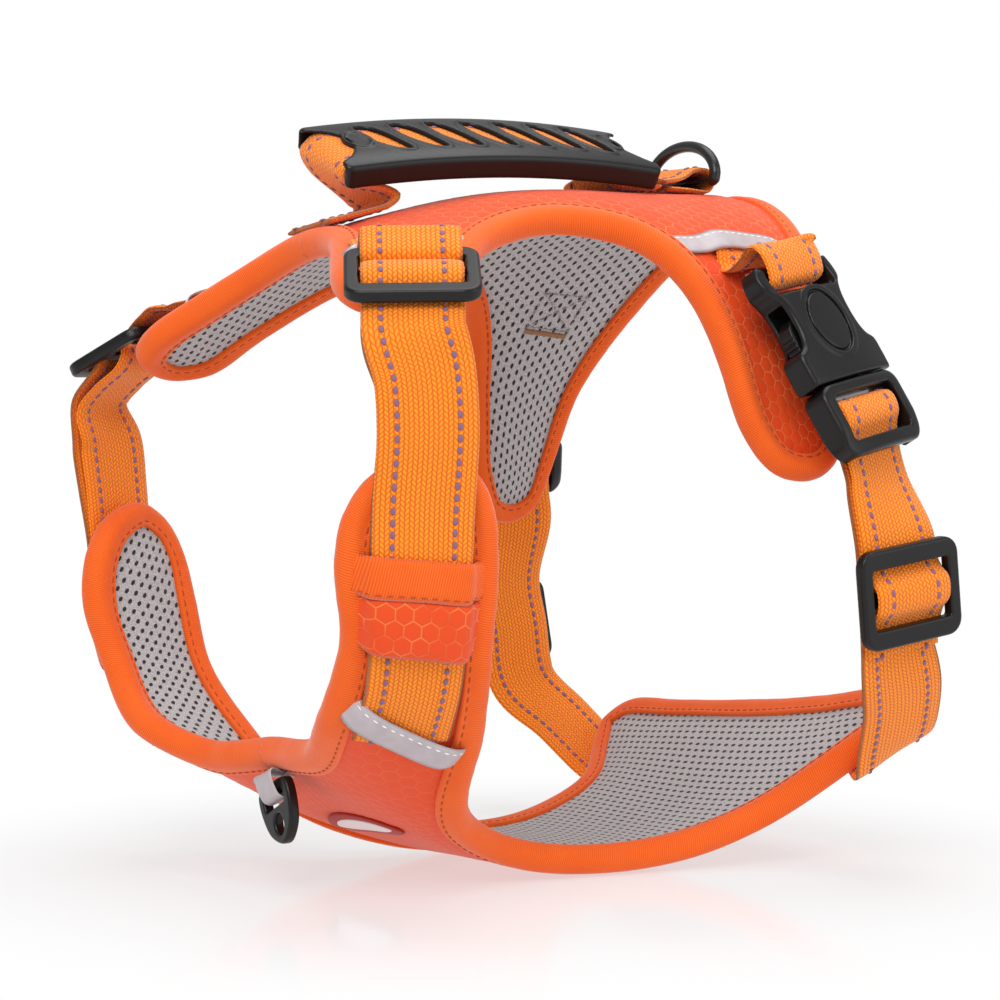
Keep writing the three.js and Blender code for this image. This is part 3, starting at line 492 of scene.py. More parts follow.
def shell_finish(name, emboss):
    """Tight woven polyester with an embossed honeycomb whose lines catch the light."""
    f = Finish(name, 0.62, sheen=0.2, specular=0.3)
    line = f.ramp(hexagon_distance(f, HEXAGON), 0.86, 0.97)
    weave = f.noise(f.flat, 3.2, 3.0)
    base = f.mix(f.noise(f.flat, 0.05), rgb("e4440e"), rgb("ec5215"))
    base = f.mix(weave * 0.35, base, rgb("cc390c"))
    # Painted highlight: the honeycomb lines are lightened towards a pale orange in patches set by a noise
    # mask, in proportion to emboss.
    highlight_patches = f.ramp(f.noise(f.flat, 0.11), 0.3, 0.62)
    f.set("Base Color", f.mix(line * (highlight_patches * emboss), base, rgb("f37538")))
    f.bump((1.0 - line) * emboss + weave * 0.35, 0.16, 0.8)
    return f.material


def lining_finish():
    """Grey spacer mesh: knitted yarn with staggered dark oval holes."""
    f = Finish("lining_mesh", 0.85, sheen=0.3, specular=0.15)
    pitch_u, pitch_v = 3.3, 2.7
    hole_u, hole_v = 0.78, 0.5
    row = f.v / pitch_v
    along = f.u / pitch_u + (f.math("FLOOR", row) % 2.0) * 0.5
    x = (f.math("FRACT", along) - 0.5) * (pitch_u / hole_u)
    y = (f.math("FRACT", row) - 0.5) * (pitch_v / hole_v)
    solid = f.ramp(f.math("SQRT", x * x + y * y), 0.9, 1.35)
    stretch = f.tree.nodes.new("ShaderNodeMapping")
    f.feed(stretch.inputs["Vector"], f.flat)
    f.feed(stretch.inputs["Scale"], (1.0, 2.6, 1.0))
    yarn = f.noise(Wire(f, stretch.outputs[0]), 1.5, 3.0)
    cloth = f.mix(f.ramp(yarn, 0.3, 0.7), rgb("9c9a9c"), rgb("d0cecf"))
    f.set("Base Color", f.mix(solid, rgb("302e30"), cloth))
    f.bump(solid + yarn * 0.8, 0.35, 0.9)
    return f.material


def plain_cloth(name, colour, other, grain=2.4, roughness=0.8):
    f = Finish(name, roughness, sheen=0.2, specular=0.2)
    weave = f.noise(f.place(), grain, 2.0)
    f.set("Base Color", f.mix(weave, rgb(colour), rgb(other)))
    f.bump(weave, 0.12, 0.6)
    return f.material


def reflective_finish():
    """Grey reflective ribbon with a very fine cross grain."""
    f = Finish("reflective_tape", 0.38, specular=0.6)
    grain = f.math("SINE", f.u * (2 * math.pi / 0.5))
    f.set("Base Color", f.mix(f.noise(f.flat, 0.25), rgb("a59ba0"), rgb("c2b9bd")))
    f.bump(grain, 0.03, 0.5)
    return f.material


def plastic_finish():
    """Black moulded plastic: a fine spark-eroded texture, rubbed a little lighter in places."""
    f = Finish("black_plastic", 0.42, specular=0.32)
    where = f.place()
    grain = f.noise(where, 2.2, 3.0)
    f.set("Base Color", f.mix(f.noise(where, 0.12), rgb("0c0b0c"), rgb("131112")))
    f.set("Roughness", grain * 0.18 + 0.24)
    f.bump(grain, 0.05, 0.35)
    return f.material


def metal_finish():
    """Black coated steel wire."""
    f = Finish("coated_metal", 0.3, specular=0.45)
    tone = f.noise(f.place(), 0.6)
    f.set("Base Color", f.mix(tone, rgb("0e0d0e"), rgb("181718")))
    f.set("Roughness", tone * 0.14 + 0.22)
    f.bump(f.noise(f.place(), 1.6, 3.0), 0.03, 0.3)
    return f.material


CLOTH = {
    "webbing": webbing_finish(),
    "binding": binding_finish(),
    # The second number scales the honeycomb relief and its painted highlight: full on the back, faint on the
    # chest.
    "back": shell_finish("shell_back", 1.0),
    "chest": shell_finish("shell_chest", 0.3),
    "lining": lining_finish(),
    "foam": plain_cloth("foam", "26221f", "3a3532", 1.2),
    "reflective": reflective_finish(),
    "label": plain_cloth("label_patch", "9c1f14", "b02a1c"),
    "label_centre": plain_cloth("label_centre", "e8dcdc", "f6eeee"),
    "thread": plain_cloth("reflective_thread", "7c5268", "96708a", 3.0, 0.6),
    # Painted shade: the seam thread has the binding's own orange-red, darkened to stand for the shadow round
    # its stitches.
    "seam_thread": plain_cloth("seam_thread", "a8401c", "bb5226", 3.0),
    "lining_thread": plain_cloth("lining_thread", "8b7f84", "a1969a", 3.0),
    "tan_thread": plain_cloth("tan_thread", "8f6a4c", "a98058", 3.0),
    "pale_thread": plain_cloth("pale_thread", "e9e4e6", "ffffff", 3.0, 0.6),
}
PLASTIC = plastic_finish()
METAL = metal_finish()


# ---- Panels ----
def hexagon_relief(ab, size):
    """1 in the middle of each honeycomb cell, 0 on its edge."""
    def cell(shift):
        tall = size * math.sqrt(3)
        x = np.abs((ab[:, 0] + shift * size / 2) % size - size / 2)
        y = np.abs((ab[:, 1] + shift * tall / 2) % tall - tall / 2)
        return np.maximum(x, 0.5 * x + math.sqrt(3) / 2 * y)
    return 1 - np.minimum(cell(0), cell(1)) / (size / 2)


def sheet(name, surface, line, margin, cell, low, high, material):
    """A closed draped sheet inside an outline. low and high give heights at (points, edge distance)."""
    first, last = line.min(0), line.max(0)
    counts = np.ceil((last - first) / cell).astype(int) + 1
    a, b = np.meshgrid(*[first[k] + cell * np.arange(counts[k]) for k in (0, 1)], indexing="ij")
    grid = np.stack([a.ravel(), b.ravel()], 1)
    deep = edge_distance(grid, line)
    number = np.arange(len(grid)).reshape(counts)
    quads = np.stack([number[:-1, :-1], number[1:, :-1], number[1:, 1:], number[:-1, 1:]], -1).reshape(-1, 4)
    quads = quads[(deep[quads] > margin).all(1)]
    used, small = np.unique(quads, return_inverse=True)
    quads = small.reshape(-1, 4)
    points, deep = grid[used], deep[used]
    if surface.side < 0:
        quads = quads[:, ::-1]
    top = surface.point(points, high(points, deep))
    bottom = surface.point(points, low(points, deep))
    size = len(points)
    sides = np.vstack([quads[:, [k, (k + 1) % 4]] for k in range(4)])
    keys = set(map(tuple, sides.tolist()))
    start, end = np.array([s for s in keys if (s[1], s[0]) not in keys]).T
    walls = np.stack([end, start, start + size, end + size], 1)
    build = Build()
    faces = np.vstack([quads, quads[:, ::-1] + size, walls])
    build.add(np.vstack([top, bottom]), faces, np.vstack([points, points]))
    return build.make(name, [material])


def panel(name, edge, surface, emboss):
    line, _ = spaced(outline(edge), 2.0, closed=True)

    def crown(deep):
        return CROWN * smooth((deep - 5) / CROWN_RUN)

    def shell_low(p, deep):
        puff = 0.35 * waves(p, 17.0) * smooth((deep - 6) / 16)
        return SHELL_EDGE - SKIN + crown(deep) + puff

    def shell_top(p, deep):
        return shell_low(p, deep) + SKIN + 0.2 * emboss * smooth(hexagon_relief(p, HEXAGON) * 2.2)

    def lining_low(p, deep):
        puff = 0.3 * waves(p, 13.0, 5.0) * smooth((deep - 6) / 12)
        return LINING_EDGE - 0.9 * crown(deep) + puff

    def lining_top(p, deep):
        return lining_low(p, deep) + SKIN

    def foam_low(p, deep):
        return lining_top(p, deep) + 0.1

    def foam_top(p, deep):
        return shell_low(p, deep) - 0.1

    for part, slot, margin, cell, low, high, cloth in (
        ("shell_cloth", "shell_fabric", 4.0, 1.0, shell_low, shell_top, name),
        ("lining_cloth", "lining_mesh", 4.0, 1.3, lining_low, lining_top, "lining"),
        ("foam_pad", "foam", 5.0, 3.0, foam_low, foam_top, "foam"),
    ):
        made = sheet(f"{name}_{part}", surface, line, margin, cell, low, high, CLOTH[cloth])
        dress(made, slot, [f"{name}_{part.split('_')[0]}"])
    bind(name, surface, line)


def bind(name, surface, line):
    """Binding tape folded round the panel's edge, with its seam stitched on both faces."""
    world = surface.point(line)
    path, length = spaced(line, 1.0, closed=True, measure=world)
    ahead = unit(np.roll(path, -1, axis=0) - np.roll(path, 1, axis=0))
    inward = np.stack([-ahead[:, 1], ahead[:, 0]], 1)
    swell = 0.22 * waves(np.stack([length, length], 1), 9.0)
    swell += 0.12 * waves(np.stack([length, -length], 1), 2.6)
    # Inward distance and height round the tape, from its inner edge on the lining side.
    section = curve([
        [8.0, -3.2], [7.3, -3.75], [6.4, -3.6], [4.4, -4.0], [2.2, -3.7], [0.7, -2.4], [0.1, 0.0],
        [0.7, 2.4], [2.2, 3.7], [4.4, 4.0], [6.4, 3.55], [7.3, 3.75], [8.0, 3.2], [7.6, 0.0],
    ], closed=True, steps=2)
    round_tape = np.concatenate([[0], np.cumsum(np.linalg.norm(np.diff(section, axis=0), axis=1))])
    vertices, uv = [], []
    for (u, v), t in zip(section, round_tape):
        reach = u + swell * (1 - u / 9)
        vertices.append(surface.point(path + inward * reach[:, None], v * (1 + 0.05 * swell)))
        uv.append(np.stack([length, np.full(len(path), t)], 1))
    faces = ring_faces(len(path), len(section), True)
    if surface.side > 0:
        faces = faces[:, ::-1]
    build = Build()
    build.add(np.stack(vertices, 1).reshape(-1, 3), faces, np.stack(uv, 1).reshape(-1, 2))
    seam_line = path + inward * 6.5
    for height in (3.6, -3.65):
        seam, _ = spaced(seam_line, 3.0, closed=True, measure=surface.point(seam_line))
        rows = surface.point(seam, height)
        forward = unit(np.roll(rows, -1, axis=0) - np.roll(rows, 1, axis=0))
        out = unit(surface.point(seam, height + 1) - rows)
        seeds(build, rows, forward, np.cross(out, forward), out, (1.05, 0.3, 0.22), 1)
    obj = build.make(f"{name}_binding_tape", [CLOTH["binding"], CLOTH["seam_thread"]])
    dress(obj, "edge_binding", [f"{name}_binding"])


# ---- Straps ----
class Seat:
    """A local frame for hardware, given for the dog's left side and mirrored for the right."""

    def __init__(self, side, at, down, outward):
        mirror = np.array([side, 1, 1])
        y = -unit(mirror * down)
        z = mirror * outward
        z = unit(z - y * (z @ y))
        at = mirror * np.array(at, float)
        self.axes = np.stack([np.cross(y, z), y, z])
        self.origin = at + [0, 0, lean(at[0], at[2])]

    def place(self, points):
        return np.asarray(points, float) @ self.axes + self.origin

    def stations(self, *places):
        """Strap stations in the frame's middle plane, from pairs of y and z."""
        return [[*self.place([0, y, z]), *self.axes[0]] for y, z in places]


def loose(side, at, wide):
    x, y, z = at
    return [side * x, y, z + lean(side * x, z), wide[0], side * wide[1], side * wide[2]]


def on_panel(surface, a, b, height, direction):
    """A station on a panel at a height, its width along a direction of the pattern."""
    step = 2 * unit(direction)
    at = surface.point([[a, b], [a - step[0], b - step[1]], [a + step[0], b + step[1]]], height)
    return [*at[0], *unit(at[2] - at[1])]


def strap(name, stations, width=25.0, thick=1.6, step=1.2, thread_line=THREAD_LINE, material="webbing"):
    """A webbing strap along stations of place and width direction, with its woven-in threads."""
    path, length = spaced(curve(stations, steps=16), step)
    centre = path[:, :3]
    along = unit(np.gradient(centre, axis=0))
    wide = path[:, 3:]
    wide = unit(wide - along * (wide * along).sum(1, keepdims=True))
    out = np.cross(along, wide)
    turn = np.linspace(-math.pi / 2, math.pi / 2, 10)
    u = np.sin(turn) * width / 2
    groove = 0.14 * np.exp(-(np.abs(u) - width / 2 + 1.6) ** 2)
    belly = thick / 2 * (1 - groove) * (1 - np.abs(np.sin(turn)) ** 14)
    section = np.vstack([np.stack([u, -belly], 1), np.stack([u[::-1], belly[::-1]], 1)[1:-1]])
    wobble = 0.12 * waves(np.stack([length, np.full(len(length), thick)], 1), 11.0)
    vertices = np.stack([centre + wide * s + out * (t + wobble)[:, None] for s, t in section], 1)
    # The two faces of the strap lie apart on the flat coordinates.
    uv = np.stack([np.stack([np.full(len(length), s + 50 * (t < 0)), length], 1) for s, t in section], 1)
    build = Build()
    loft(build, vertices, uv)
    for u in (thread_line, -thread_line) if thread_line else ():
        rows, _ = spaced(np.hstack([centre + wide * u, along, wide, out]), 2.9)
        axes = [unit(rows[:, k:k + 3]) for k in (3, 6, 9)]
        for face in (1, -1):
            place = rows[:, :3] + face * axes[2] * (thick / 2 + 0.02)
            seeds(build, place, *axes, (1.05, 0.7, 0.3), 1)
    return build.make(name, [CLOTH[material], CLOTH["thread"]])


def tape(name, surface, route, heights, width, thick, material, thread=None, thread_at=0.0):
    """A flat tape laid across a panel: route and heights are its middle line on the pattern."""
    line, _ = spaced(curve(np.column_stack([route, heights]), steps=16), 1.5)
    ab, height = line[:, :2], line[:, 2]
    ahead = unit(np.gradient(ab, axis=0))
    side = np.stack([-ahead[:, 1], ahead[:, 0]], 1)
    length = np.concatenate([[0], np.cumsum(np.linalg.norm(np.diff(ab, axis=0), axis=1))])
    offsets = np.linspace(-width / 2, width / 2, max(5, int(width)))
    soft = thick / 2 * (1 - np.abs(offsets / (width / 2)) ** 8)
    section = [*zip(offsets, -soft), *list(zip(offsets, soft))[::-1][1:-1]]
    vertices = np.stack([surface.point(ab + side * u, height + v) for u, v in section], 1)
    uv = np.stack([np.stack([length, np.full(len(ab), u)], 1) for u, v in section], 1)
    build = Build()
    loft(build, vertices, uv, flip=surface.side < 0)
    if thread:
        rows, _ = spaced(np.column_stack([ab + side * thread_at, height + thick / 2]), 2.6)
        at = surface.point(rows[:, :2], rows[:, 2])
        out = unit(surface.point(rows[:, :2], rows[:, 2] + 1) - at)
        forward = unit(np.gradient(at, axis=0))
        seeds(build, at, forward, np.cross(out, forward), out, (0.9, 0.22, 0.16), 1)
    return build.make(name, [CLOTH[material], CLOTH[thread or "thread"]])


# ---- Moulded parts: distance fields turned into smooth closed meshes ----
def box_field(x, y, z, low, high, radius=0.0):
    q = [np.abs(p - (lo + hi) / 2) - (hi - lo) / 2 + radius for p, lo, hi in zip((x, y, z), low, high)]
    outside = np.sqrt(sum(np.maximum(k, 0) ** 2 for k in q))
    return outside + np.minimum(np.maximum(np.maximum(q[0], q[1]), q[2]), 0) - radius


def shape_field(x, y, polygon):
    """Signed distance to a closed flat outline, negative inside."""
    x, y = np.broadcast_arrays(x, y)
    flat = np.stack([x.ravel(), y.ravel()], 1)
    return -edge_distance(flat, np.asarray(polygon, float)).reshape(x.shape)


def plate_field(flat, z, half, radius):
    """A flat outline given thickness, its edges rounded by radius."""
    p, q = flat + radius, np.abs(z) - half + radius
    return np.minimum(np.maximum(p, q), 0) + np.sqrt(np.maximum(p, 0) ** 2 + np.maximum(q, 0) ** 2) - radius


def join(a, b, soft=0.01):
    h = np.clip(0.5 + 0.5 * (b - a) / soft, 0, 1)
    return b + (a - b) * h - soft * h * (1 - h)


def carve(a, b, soft=0.01):
    return -join(-a, b, soft)


def rounded(width, height, corner, y=0.0):
    """The outline of a rounded rectangle centred at (0, y)."""
    points = []
    for cx, cy, start in ((1, 1, 0), (-1, 1, 90), (-1, -1, 180), (1, -1, 270)):
        for angle in range(start, start + 91, 15):
            turn = math.radians(angle)
            points.append([
                cx * (width / 2 - corner) + corner * math.cos(turn),
                y + cy * (height / 2 - corner) + corner * math.sin(turn),
            ])
    return points


def ellipse_field(x, y, cx, cy, rx, ry):
    """Nearly the signed distance to an ellipse."""
    p, q = (x - cx) / rx, (y - cy) / ry
    reach = np.sqrt(p * p + q * q)
    slope = np.sqrt((p / rx) ** 2 + (q / ry) ** 2)
    return reach * (reach - 1) / np.maximum(slope, 1e-6)


def net(field, low, high, cell):
    """Surface nets: a closed quad mesh where a field of x, y, z is zero, outward facing."""
    low, high = np.array(low, float) - 1.5 * cell, np.array(high, float) + 1.5 * cell
    axes = [np.arange(low[k], high[k] + cell, cell) for k in range(3)]
    values = field(axes[0][:, None, None], axes[1][None, :, None], axes[2][None, None, :])
    values = np.broadcast_to(values, tuple(len(a) for a in axes))
    shape = tuple(n - 1 for n in values.shape)
    corners = [(i, j, k) for i in (0, 1) for j in (0, 1) for k in (0, 1)]

    def at(corner):
        return values[tuple(slice(c, c + n) for c, n in zip(corner, shape))]

    inside = sum((at(c) < 0).astype(int) for c in corners)
    cells = np.argwhere((inside > 0) & (inside < 8))
    total, hits = np.zeros((len(cells), 3)), np.zeros(len(cells))
    for c in corners:
        for k in range(3):
            if c[k] == 0:
                d = tuple(c[m] + (m == k) for m in range(3))
                first = at(c)[tuple(cells.T)]
                second = at(d)[tuple(cells.T)]
                hit = (first < 0) != (second < 0)
                share = np.where(hit, first / np.where(hit, first - second, 1), 0)
                point = np.array(c, float) + share[:, None] * (np.array(d) - np.array(c))
                total += point * hit[:, None]
                hits += hit
    vertices = low + (cells + total / hits[:, None]) * cell
    number = np.full(shape, -1)
    number[tuple(cells.T)] = np.arange(len(cells))
    faces = []
    for k in range(3):
        b, c = (k + 1) % 3, (k + 2) % 3
        start = np.delete(values, -1, axis=k)
        after = np.delete(values, 0, axis=k)
        edges = np.argwhere((start < 0) != (after < 0))
        rising = start[tuple(edges.T)] < 0
        ring = []
        for db, dc in ((-1, -1), (0, -1), (0, 0), (-1, 0)):
            where = edges.copy()
            where[:, b] += db
            where[:, c] += dc
            ring.append(number[tuple(where.T)])
        quads = np.stack(ring, 1)
        faces.append(np.where(rising[:, None], quads, quads[:, ::-1]))
    # One step towards the true surface, which flattens the faces of the moulding.
    x, y, z = vertices.T
    here = field(x, y, z)
    step = 0.05
    ahead = np.stack([field(x + step, y, z), field(x, y + step, z), field(x, y, z + step)], 1)
    slope = (ahead - here[:, None]) / step
    move = slope * (here / np.maximum((slope ** 2).sum(1), 0.25))[:, None]
    return vertices - np.clip(move, -cell / 3, cell / 3), np.vstack(faces)


def mould(name, field, low, high, cell, place, slot, nodes, body, material=None):
    vertices, faces = net(field, low, high, cell)
    build = Build()
    build.add(place(vertices), faces, vertices[:, :2])
    return dress(build.make(name, [material or PLASTIC]), slot, nodes, body)


def slider_field(x, y, z):
    """A three-bar slider: a rounded frame and a lowered centre bar."""
    end, slot, bar = SLIDER["height"] / 2, SLIDER["slot"], SLIDER["bar"]
    frame_line = rounded(SLIDER["width"], SLIDER["height"], SLIDER["corner"])
    body = plate_field(shape_field(x, y, frame_line), z, SLIDER["half"], 0.9)
    rail = end - SLIDER["rail"]
    for low, high in ((bar, rail), (-rail, -bar)):
        body = carve(body, box_field(x, y, z, (-slot, low, -5), (slot, high, 5), 0.8), 0.7)
    return carve(body, box_field(x, y, z, (-slot, -3.4, 0.4), (slot, 3.4, 6), 0.3), 0.5)


def socket_outline():
    half, top, mouth = BUCKLE["half"], BUCKLE["top"], BUCKLE["mouth"]
    right = [
        [half - 0.2, mouth], [half - 0.1, mouth + 5], [half - 0.5, mouth + 9.2], [14.2, mouth + 11.4],
        [12.8, mouth + 15], [12.8, top - 14], [14.2, top - 10.2], [half - 1.0, top - 7.6],
        [half - 0.4, top - 4], [half - 1.6, top - 0.8],
    ]
    left = [[-x, y] for x, y in right[::-1]]
    return [*curve(right, steps=5).tolist(), *curve(left, steps=5).tolist()]


SOCKET_OUTLINE = socket_outline()


def socket_field(x, y, z):
    """The buckle's female half, with its waist cut-outs, strap slot and raised oval."""
    top, mouth, slot = BUCKLE["top"], BUCKLE["mouth"], BUCKLE["slot"]
    deep = BUCKLE["deep"] - 1.3 * (x / BUCKLE["half"]) ** 2 - 0.9 * smooth((y - 18) / 8)
    flat = shape_field(x, y, SOCKET_OUTLINE)
    body = plate_field(flat, z * BUCKLE["deep"] / deep, BUCKLE["deep"], 1.5)
    strap_slot = box_field(x, y, z, (-slot, top - 8.2, -9), (slot, top - 3.4, 9), 1.0)
    body = carve(body, strap_slot, 1.2)
    for low, high in ((2.2, 9), (-9, -2.2)):
        dish = box_field(x, y, z, (-slot, top - 9.5, low), (slot, top + 6, high), 1.4)
        body = carve(body, dish, 1.0)
    cavity = box_field(x, y, z, (-15, mouth - 4, -2.7), (15, mouth + 24, 2.7), 0.5)
    body = carve(body, cavity, 0.4)
    oval = ellipse_field(x, y, 0, 8.6, 8.4, 10.2)
    face = deep * (1 - 0.12 * np.clip(np.abs(z) / 9, 0, 1))
    ring = np.maximum(np.abs(oval) - 0.75, np.maximum(z - face - 0.45, face - 1.2 - z))
    groove = np.maximum(np.abs(oval + 1.2) - 0.45, face - 0.55 - z)
    return carve(join(body, ring, 0.7), groove, 0.35)


def plug_field(x, y, z):
    """The male half: a framed window round the webbing bar, and the guide tongue."""
    top, bottom, slot = BUCKLE["mouth"] - BUCKLE["seam"], BUCKLE["bottom"], BUCKLE["slot"]
    deep = BUCKLE["deep"] - 1.3 * (x / BUCKLE["half"]) ** 2 - 1.4 * smooth((-y - 20) / 9)
    flat = shape_field(x, y, rounded(2 * BUCKLE["half"] - 0.4, top - bottom, 4.2, (top + bottom) / 2))
    body = plate_field(flat, z * BUCKLE["deep"] / deep, BUCKLE["deep"], 1.5)
    window = box_field(x, y, z, (-slot, bottom + 4, -9), (slot, top - 3.4, 9), 1.6)
    body = carve(body, window, 1.2)
    passage = box_field(x, y, z, (-slot, bottom - 6, -12), (slot, top - 3.4, 0.4), 1.0)
    body = carve(body, passage, 0.8)
    bar = box_field(x, y, z, (-slot - 0.8, top - 9.4, -1.6), (slot + 0.8, top - 6.2, 1.6), 1.2)
    tongue = box_field(x, y, z, (-3.6, top - 1, -2), (3.6, top + 20, 2), 0.7)
    return join(join(body, bar, 0.5), tongue, 0.5)


def arm_field(hand):
    """A release arm, hinged at the plug's head, with a ribbed thumb tab."""
    base = BUCKLE["mouth"] - BUCKLE["seam"] + 0.6
    shape = np.array([
        [ARM["inner"], base + 0.4], [ARM["inner"] + 0.6, base], [ARM["outer"] - 0.6, base],
        [ARM["outer"], base + 0.6], [ARM["outer"], base + 7.5], [ARM["outer"] + 0.5, base + 9.2],
        [ARM["tab"], base + 11.5], [ARM["tab"], base + 14.5], [ARM["tab"] - 0.8, base + 17.5],
        [ARM["inner"] + 1.6, base + ARM["length"]], [ARM["inner"], base + ARM["length"] - 2],
    ]) * [hand, 1]
    tab = hand * ARM["tab"]

    def field(x, y, z):
        body = plate_field(shape_field(x, y, shape), z, ARM["half"], 0.6)
        for k in range(3):
            rib = base + 11.2 + 1.6 * k
            body = carve(body, box_field(x, y, z, (tab - 0.5, rib, -3), (tab + 0.5, rib + 0.6, 3), 0.2), 0.2)
        return body
    return field


# The grip is drawn in its own arch: s along it, x across, r up from its crown.
GRIP_RADIUS = (GRIP["half"] ** 2 + GRIP["rise"] ** 2) / (2 * GRIP["rise"])


def grip_slot(s):
    """A crescent slot slanting across the grip's top, centred at s."""
    return curve([
        [-8.2, s - 4.2], [-3.0, s - 4.4], [3.0, s - 2.6], [7.8, s + 1.4], [8.4, s + 4.6],
        [3.0, s + 3.6], [-3.0, s + 1.8], [-7.6, s - 1.0],
    ], closed=True, steps=4)


def grip_field(x, y, z):
    """The handle's sleeve: an arch with a webbing tunnel, rimmed slots and hooked ends."""
    s = np.arctan2(y, z + GRIP_RADIUS) * GRIP_RADIUS
    r = np.sqrt(y * y + (z + GRIP_RADIUS) ** 2) - GRIP_RADIUS
    length = GRIP_RADIUS * math.asin(GRIP["half"] / GRIP_RADIUS)
    half, thick = GRIP["width"] / 2, GRIP["thick"]
    wide, roof = TUNNEL["half"], -TUNNEL["top"]
    round_top = r + 1.3 * (x / half) ** 4
    flat = shape_field(x, s, rounded(GRIP["width"], 2 * length, 2.2))
    body = plate_field(flat, round_top + thick / 2, thick / 2, 1.1)
    tunnel = box_field(x, s, round_top, (-wide, -80, roof - TUNNEL["height"]), (wide, 80, roof), 0.6)
    body = carve(body, tunnel, 0.3)
    for k in range(-3, 4):
        edge = shape_field(x, s, grip_slot(k * GRIP["pitch"]))
        rim = np.maximum(np.abs(edge - 0.9) - 0.5, np.maximum(round_top - 0.3, -r - 1.2))
        body = carve(join(body, rim, 0.5), np.maximum(edge, -4.6 - r), 0.6)
    for end in (-1, 1):
        notch = curve([
            [-11.5, end * (length + 3)], [-9.0, end * (length - 4)], [0, end * (length - 8.5)],
            [9.0, end * (length - 4)], [11.5, end * (length + 3)], [0, end * (length + 6)],
        ], closed=True, steps=4)
        body = carve(body, shape_field(x, s, notch), 0.8)
        low, high = sorted((end * (length - 15), end * (length + 20)))
        relief = box_field(x, s, r, (-wide, low, -20), (wide, high, roof - 2.4), 0.8)
        body = carve(body, relief, 0.6)
        oval = ellipse_field(x, s, 0, end * 40.5, 5.2, 3.6)
        ridge = np.maximum(np.abs(oval) - 0.4, np.maximum(r - 0.35, -r - 1.2))
        body = join(body, ridge, 0.5)
    return body


def wire_field(points, radius):
    """A round wire along a closed line of points in the plane z = 0."""
    loop = np.asarray(points, float)

    def field(x, y, z):
        flat = np.abs(shape_field(x, y, loop))
        return np.sqrt(flat ** 2 + z ** 2) - radius
    return field


def d_ring_line():
    """The middle line of the leash ring's wire: a straight bar and a flattened bow."""
    half, height = D_RING["half"], D_RING["height"]
    bow = [[half * math.cos(t), 1.2 + (height - 1.2) * math.sin(t)] for t in np.linspace(0, math.pi, 31)]
    return [[half - 1, 0.0], [half - 0.2, 0.5], *bow[1:-1], [0.2 - half, 0.5], [1 - half, 0.0]]


def chest_ring_field(x, y, z):
    """A rounded tab with a ribbon slot at the top and an upright eye for a clip."""
    half, height, thick = CHEST_RING["half"], CHEST_RING["height"], CHEST_RING["thick"]
    shape = curve([
        [-half + 1, 0], [half - 1, 0], [half, -1.5], [half, -6.5], [half * 0.72, -12.5], [0, -height],
        [-half * 0.72, -12.5], [-half, -6.5], [-half, -1.5],
    ], closed=True, steps=5)
    body = plate_field(shape_field(x, y, shape), z, thick / 2, 0.8)
    slot = box_field(x, y, z, (-half + 2.6, -6, -5), (half - 2.6, -2.4, 5), 0.9)
    eye = plate_field(ellipse_field(x, y, 0, -10.7, 2.3, 2.8), z, 6, 0.1)
    return carve(carve(body, slot, 0.6), eye, 0.8)


# ---- The two sides ----
def metres(point):
    return ((np.asarray(point, float) + STAND) * MM).tolist()


def hardware(side, label, shoulder, girth, clasp):
    """The sliders, the buckle halves and the plug's release arms."""
    corner = np.array([SLIDER["width"] / 2, SLIDER["height"] / 2, SLIDER["half"]])
    for name, seat in (("shoulder", shoulder), ("girth", girth)):
        mould(
            f"{label}_{name}_slider_moulding", slider_field, -corner, corner, 0.45,
            seat.place, "black_plastic", [f"{label}_{name}_slider"], f"{label}_{name}_slider")
    half, mouth, top, bottom = BUCKLE["half"], BUCKLE["mouth"], BUCKLE["top"], BUCKLE["bottom"]
    mould(
        f"{label}_buckle_socket_moulding", socket_field, (-half, mouth, -5.4), (half, top, 5.8), 0.45,
        clasp.place, "black_plastic", [f"{label}_buckle_socket"], "harness")
    mould(
        f"{label}_buckle_plug_moulding", plug_field, (-half, bottom, -5.4), (half, 12, 5.4), 0.45,
        clasp.place, "black_plastic", [f"{label}_buckle_plug"], f"{label}_plug")
    for end, hand in (("front", -side), ("rear", side)):
        low, high = sorted((hand * 9.4, hand * 14.8))
        thick = ARM["half"]
        mould(
            f"{label}_release_arm_{end}_moulding", arm_field(hand), (low, mouth, -thick), (high, 12.7, thick),
            0.4, clasp.place, "black_plastic", [f"{label}_release_arm_{end}"], f"{label}_arm_{end}")


